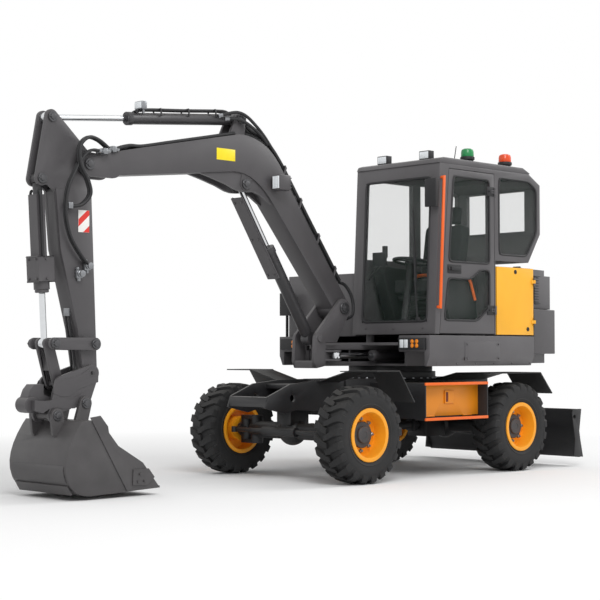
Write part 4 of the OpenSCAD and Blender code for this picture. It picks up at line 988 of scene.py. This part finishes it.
back_route = (
    (60, 242), (300, 398), (640, 616), (960, 826), (1130, 934), (1290, 1012), (1430, 1040), (1560, 1040), (1650, 1075),
)
loom = bmesh.new()
for y in (-62, -22, 18, 58):
    lift = 10 if y in (-22, 58) else 0
    run_tube(loom, eased_route([on_boom(u, y, v + lift) for u, v in back_route]), 0.017, 10)
piece = set_down("boom_hoses", loom, hose_rubber)
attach(piece, "boom")
saddles = bmesh.new()
saddle_bow = ((-96, -62), (-96, 14), (-84, 30), (84, 30), (96, 14), (96, -62))
for u, v in ((180, 308), (480, 502), (800, 708), (1080, 895)):
    run_tube(saddles, [on_boom(u, y, v + h) for y, h in saddle_bow], 0.011, 8)
piece = set_down("hose_saddles", saddles, boom_grey)
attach(piece, "boom")


# Arm cylinder lines: two steel pipes clamped on top of the barrel from its foot to
# its gland, with a small work lamp on the gland bracket.
def on_arm_cylinder(along, y, up):
    return at(1998.5 + 0.995 * along + 0.0998 * up, y, 3146.6 - 0.0998 * along + 0.995 * up)


pipe_route = ((70, 40), (130, 66), (230, 72), (600, 70), (940, 72), (1060, 64), (1110, 44))
pipes = bmesh.new()
for y in (-26, 26):
    run_tube(pipes, eased_route([on_arm_cylinder(a, y, h) for a, h in pipe_route]), 0.012, 10)
for a in (260, 560, 860):
    run_tube(pipes, [on_arm_cylinder(a, y, h) for y, h in ((-52, 20), (-48, 78), (48, 78), (52, 20))], 0.008, 8)
piece = set_down("arm_cylinder_pipes", pipes, hose_rubber)
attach(piece, "arm_barrel")
spot = bmesh.new()
lamp_foot = [on_arm_cylinder(a, y, h) for a, y, h in ((1040, 40, 40), (1046, 44, 72), (1060, 44, 92))]
run_tube(spot, eased_route(lamp_foot), 0.011, 8)
block(spot, (3038, -8, 3108), (3094, 92, 3176), 8)
piece = set_down("cylinder_lamp", spot, zinc)
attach(piece, "arm_barrel")
glow = bmesh.new()
block(glow, (3093, 0, 3116), (3099, 84, 3168), 2)
piece = set_down("cylinder_lamp_lens", glow, lens_clear)
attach(piece, "arm_barrel")


# Knee hoses: two free hoses leave the boom's back beside the loom, pass the cylinder's
# foot on the left and end in fittings on the barrel.
knee_routes = (
    ((1644, 90, 2922), (1760, 110, 3022), (1880, 127, 3104), (1985, 131, 3166), (2075, 124, 3188), (2165, 96, 3172),
     (2250, 66, 3144)),
    ((1698, 92, 2948), (1800, 114, 3020), (1905, 128, 3072), (2000, 131, 3112), (2090, 116, 3132), (2180, 72, 3129)),
)
fittings = bmesh.new()
for i, knee_route in enumerate(knee_routes):
    points = [at(*spot_mm) for spot_mm in knee_route]
    hang_hose(f"knee_hose_{i + 1}", points, 0.014)
    nut = [(21, 0), (21, 16), (17, 18), (17, 42), (15, 44)]
    turned(fittings, nut, facing(points[-1], points[-2] - points[-1]), 6)
piece = set_down("knee_fittings", fittings, zinc)
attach(piece, "arm_barrel")


# Boom tip: a clamp with hex unions holds the free hoses, and five black lines come to
# it along the top of the boom.
clamp = bmesh.new()
for x, y, z in ((3510, 124, 2714), (3400, 92, 2744)):
    block(clamp, (x - 20, y - 18, z - 24), (x + 20, y + 46, z + 24), 4)
    for out in (0, 27):
        turned(clamp, [(20, 0), (20, 12), (16, 14), (16, 38), (14, 40)], facing(at(x + 18, y + out, z), (1, 0, 0)), 6)
        turned(clamp, [(18, 0), (18, 12), (15, 14), (15, 34)], facing(at(x - 18, y + out, z), (-1, 0, 0)), 6)
piece = set_down("hose_clamp_boom", clamp, zinc)
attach(piece, "boom")
tops = bmesh.new()
for y in (-62, -24, 14):
    run_tube(tops, eased_route([at(x, y, 3446.5 - 0.2085 * x) for x in (2080, 2400, 2800, 3200, 3430)]), 0.014, 10)
for y, end in ((50, 92), (84, 119)):
    points = [at(x, y, 3446.5 - 0.2085 * x) for x in (2080, 2400, 2800, 3080)]
    run_tube(tops, eased_route(points + [at(3230, (y + end) / 2, 2792), at(3380, end, 2748)]), 0.014, 10)
piece = set_down("boom_top_lines", tops, hose_rubber)
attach(piece, "boom")


# Gussets: curved plates weld the boom cylinder's lugs to the underside of the boom.
def flat_plate(bm, corners, y0, y1):
    """A flame-cut plate of a given outline between two heights across the machine."""
    low = [bm.verts.new(at(x, y0, z)) for x, z in corners]
    high = [bm.verts.new(at(x, y1, z)) for x, z in corners]
    bm.faces.new(low)
    bm.faces.new(high)
    for i in range(len(corners)):
        j = (i + 1) % len(corners)
        bm.faces.new((low[i], low[j], high[j], high[i]))
    bmesh.ops.recalc_face_normals(bm, faces=bm.faces)


gusset_outline = [
    (2490, 2642), (2339, 2608), (2166, 2563), (2056, 2524), (1990, 2512), (1920, 2514), (1850, 2522), (1764, 2498),
    (1690, 2452), (1640, 2424), (1632, 2432), (1687, 2495), (1743, 2549), (1799, 2595), (1857, 2631), (1917, 2659),
    (1977, 2678), (2100, 2688), (2300, 2666), (2490, 2648),
]
gussets = bmesh.new()
for side in (1, -1):
    flat_plate(gussets, gusset_outline, side * 58, side * 86)
piece = set_down("boom_gussets", gussets, boom_grey)
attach(piece, "boom")


# Boom cylinder guard: a folded steel channel bolted to the rod's eye, which slides
# over the barrel and shields the chromed rod from stones.
def mapped_block(bm, place, low, high, ease_by=2.0):
    """A rectangular part in the coordinates of a cylinder: along, across and outwards."""
    made = bmesh.ops.create_cube(bm, size=1)["verts"]
    for v in made:
        v.co = place(*[(a + b) / 2 + c * (b - a) for a, b, c in zip(low, high, v.co)])
    edges = {e for v in made for e in v.link_edges}
    bmesh.ops.bevel(bm, geom=list(edges), offset=ease_by / 1000, segments=2, profile=0.5, affect="EDGES")


def on_boom_cylinder(along, y, out):
    return at(1955.7 - 0.5407 * along + 0.8412 * out, y, 2581.4 - 0.8412 * along - 0.5407 * out)


guard = bmesh.new()
mapped_block(guard, on_boom_cylinder, (84, -66, 82), (900, 66, 90))
for y in (-66, 58):
    mapped_block(guard, on_boom_cylinder, (84, y, 68), (900, y + 8, 84))
for along in (130, 500, 860):
    for y in (-40, 40):
        hex_bolt(guard, facing(on_boom_cylinder(along, y, 90), (0.8412, 0, -0.5407)), 9)
piece = set_down("boom_rod_guard", guard, boom_grey)
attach(piece, "boom_rod")


# Arm: welded box section with the bucket linkage, a clamp for the hoses and a plate
# with red and white warning bars.
ease("arm", boom_grey, "arm", 0.004)
ease("rocker", boom_grey, "rocker")
ease("bucket_link", boom_grey, "bucket_link")
pin_heads("arm_pins", "arm", "arm", ((3953.3, 2950.5), (4043.1, 2465.7)), 40)
pin_heads("rocker_pins", "rocker", "rocker", ((3581, 1190), (3967, 1193)), 40)
clamp = bmesh.new()
for x, z, y in ((3640, 1802, 85), (3716, 1738, 85)):
    block(clamp, (x - 30, y, z - 34), (x + 30, y + 30, z + 26), 5)
    union = [(26, 0), (26, 16), (20, 20), (20, 34), (26, 36), (26, 44), (10, 47), (0, 47)]
    turned(clamp, union, facing(at(x, y + 29, z), (0, 1, 0)), 18)
    turned(clamp, [(16, 0), (16, 26), (12, 30)], facing(at(x + 8, y + 16, z + 22), (0.3, 0.1, 0.9)), 6)
    turned(clamp, [(15, 0), (15, 20), (11, 26), (0, 27)], facing(at(x, y + 16, z - 32), (0, 0, -1)), 6)
block(clamp, (3738, -34, 1408), (3766, 34, 1472), 4)
block(clamp, (3812, 84, 2238), (3856, 160, 2288), 4)
piece = set_down("hose_clamp_arm", clamp, zinc)
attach(piece, "arm")
plate_white = finish("plate_white", "#eceae6", 0.4, spread=0.03, cloud=20, grain=300, relief=0.02)
bar_red = finish("bar_red", "#d8322a", 0.4, spread=0.05, cloud=20, grain=300, relief=0.02)
white = bmesh.new()
block(white, (3609, 85.3, 2066), (3714, 88, 2240), 0.8)
piece = set_down("warning_plate", white, plate_white)
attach(piece, "arm")
bars = bmesh.new()
for corners in (
    [(3713, 2108), (3713, 2166), (3633, 2239), (3610, 2239), (3610, 2203)],
    [(3668, 2067), (3610, 2120), (3610, 2067)],
):
    flat_plate(bars, corners, 87.8, 88.8)
piece = set_down("warning_bars", bars, bar_red)
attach(piece, "arm")


# Bucket cylinder guard: a bolted steel shroud round the gland, and two pressure pipes
# down the sides of the barrel.
def on_bucket_cylinder(along, y, out):
    return at(4043.1 - 0.0596 * along + 0.998 * out, y, 2465.7 - 0.998 * along - 0.0596 * out)


shroud = bmesh.new()
made = bmesh.ops.create_cube(shroud, size=1)["verts"]
for v in made:
    v.co = on_bucket_cylinder(700 + 190 * v.co.x, 150 * v.co.y, 150 * v.co.z)
bmesh.ops.bevel(shroud, geom=shroud.edges[:], offset=0.008, segments=2, profile=0.5, affect="EDGES")
for along in (625, 775):
    for y in (-50, 50):
        hex_bolt(shroud, facing(on_bucket_cylinder(along, y, 75), (1, 0, 0)), 9)
    hex_bolt(shroud, facing(on_bucket_cylinder(along, 75, 0), (0, 1, 0)), 9)
shroud_outline = [(62, 0), (62, 60), (54, 66), (54, 84), (46, 88), (38, 88)]
turned(shroud, shroud_outline, facing(on_bucket_cylinder(795, 0, 0), (-0.0596, 0, -0.998)), 24)
piece = set_down("gland_shroud", shroud, boom_grey)
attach(piece, "bucket_barrel")
channel = bmesh.new()
mapped_block(channel, on_bucket_cylinder, (125, -54, 42), (606, 54, 50))
for y in (-54, 47):
    mapped_block(channel, on_bucket_cylinder, (125, y, -24), (606, y + 7, 44))
piece = set_down("barrel_cover", channel, boom_grey)
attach(piece, "bucket_barrel")
pipes = bmesh.new()
for y in (-68, 68):
    pipe_route = ((90, y * 0.6), (130, y), (400, y), (612, y))
    run_tube(pipes, eased_route([on_bucket_cylinder(a, w, 20) for a, w in pipe_route]), 0.011, 10)
piece = set_down("bucket_cylinder_pipes", pipes, hose_rubber)
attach(piece, "bucket_barrel")


# Quick coupler and bucket: cast coupler with two pins, and a welded bucket in worn grey
# with bolted side cutters and short teeth.
bucket_grey = finish("bucket_grey", "#474546", 0.42, spread=0.16, cloud=5, grain=130, relief=0.14, dust=0.1)
ease("coupler", boom_grey, "bucket")
ease("bucket", bucket_grey, "bucket")
pin_heads("coupler_pins", "bucket", "coupler", ((3596.1, 962), (3875, 882)), 44, 5)
pin_heads("hook_pins", "bucket", "bucket", ((3679, 728), (3945, 640)), 40)
jaws = bmesh.new()
for side in (1, -1):
    flat_plate(
        jaws,
        [
            (3957, 869), (3935, 907), (3819, 925), (3694, 956), (3620, 1000), (3536, 985), (3540, 890), (3630, 868),
            (3741, 834), (3818, 784), (3895, 786), (3964, 812),
        ],
        side * 117, side * 121,
    )
    flat_plate(
        jaws,
        [
            (4130, 759), (4002, 752), (3880, 779), (3802, 756), (3640, 826), (3600, 800), (3693, 730), (3760, 690),
            (3864, 690), (3925, 700), (4001, 690), (4054, 660), (4130, 680),
        ],
        side * 66, side * 119,
    )
flat_plate(
    jaws,
    [
        (4004, 880), (4090, 880), (4128, 838), (4150, 780), (4150, 690), (4110, 660), (4064, 659), (3946, 690),
        (3946, 780), (4004, 800),
    ],
    -52,
    52,
)
turned(jaws, [(58, -70), (62, -66), (62, 66), (58, 70), (0, 70)], facing(at(4122, 0, 724), (0, 1, 0)), 28)
turned(jaws, [(38, 0), (40, 4), (40, 176), (34, 182), (0, 182)], facing(at(3668, 0, 840), (1, 0, 0)), 24)
piece = set_down("coupler_jaws", jaws, boom_grey)
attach(piece, "bucket")
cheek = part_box("bucket")[1][1] * 1000




wear = bmesh.new()
for side in (1, -1):
    flat_plate(
        wear, [(3405, 93), (3261, 84), (3190, 144), (3249, 214), (3400, 211)], side * cheek, side * (cheek + 16)
    )
    flat_plate(
        wear,
        [(3806, 628), (3712, 640), (3640, 556), (3622, 460), (3560, 372), (3470, 282), (3388, 226), (3412, 60), (3452, 46)],
        side * cheek, side * (cheek + 7),
    )
    for x, z in ((3337, 174), (3355, 115), (3293, 118)):
        hex_bolt(wear, facing(at(x, side * (cheek + 16), z), (0, side, 0)), 11)
shell = [(4020, 268), (4026, 247), (4017.6, 195), (4006, 162), (3996, 141)], [(3985, 119), (3966, 84), (3944, 50)]
for run in shell:
    inner = [Vector((x, z)) for x, z in run]
    outer = [p + Vector((7, -2 if p.y > 130 else -6)) for p in inner]
    flat_plate(wear, [tuple(p) for p in inner + outer[::-1]], -cheek + 30, cheek - 30)
piece = set_down("bucket_wear_plates", wear, bucket_grey)
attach(piece, "bucket")
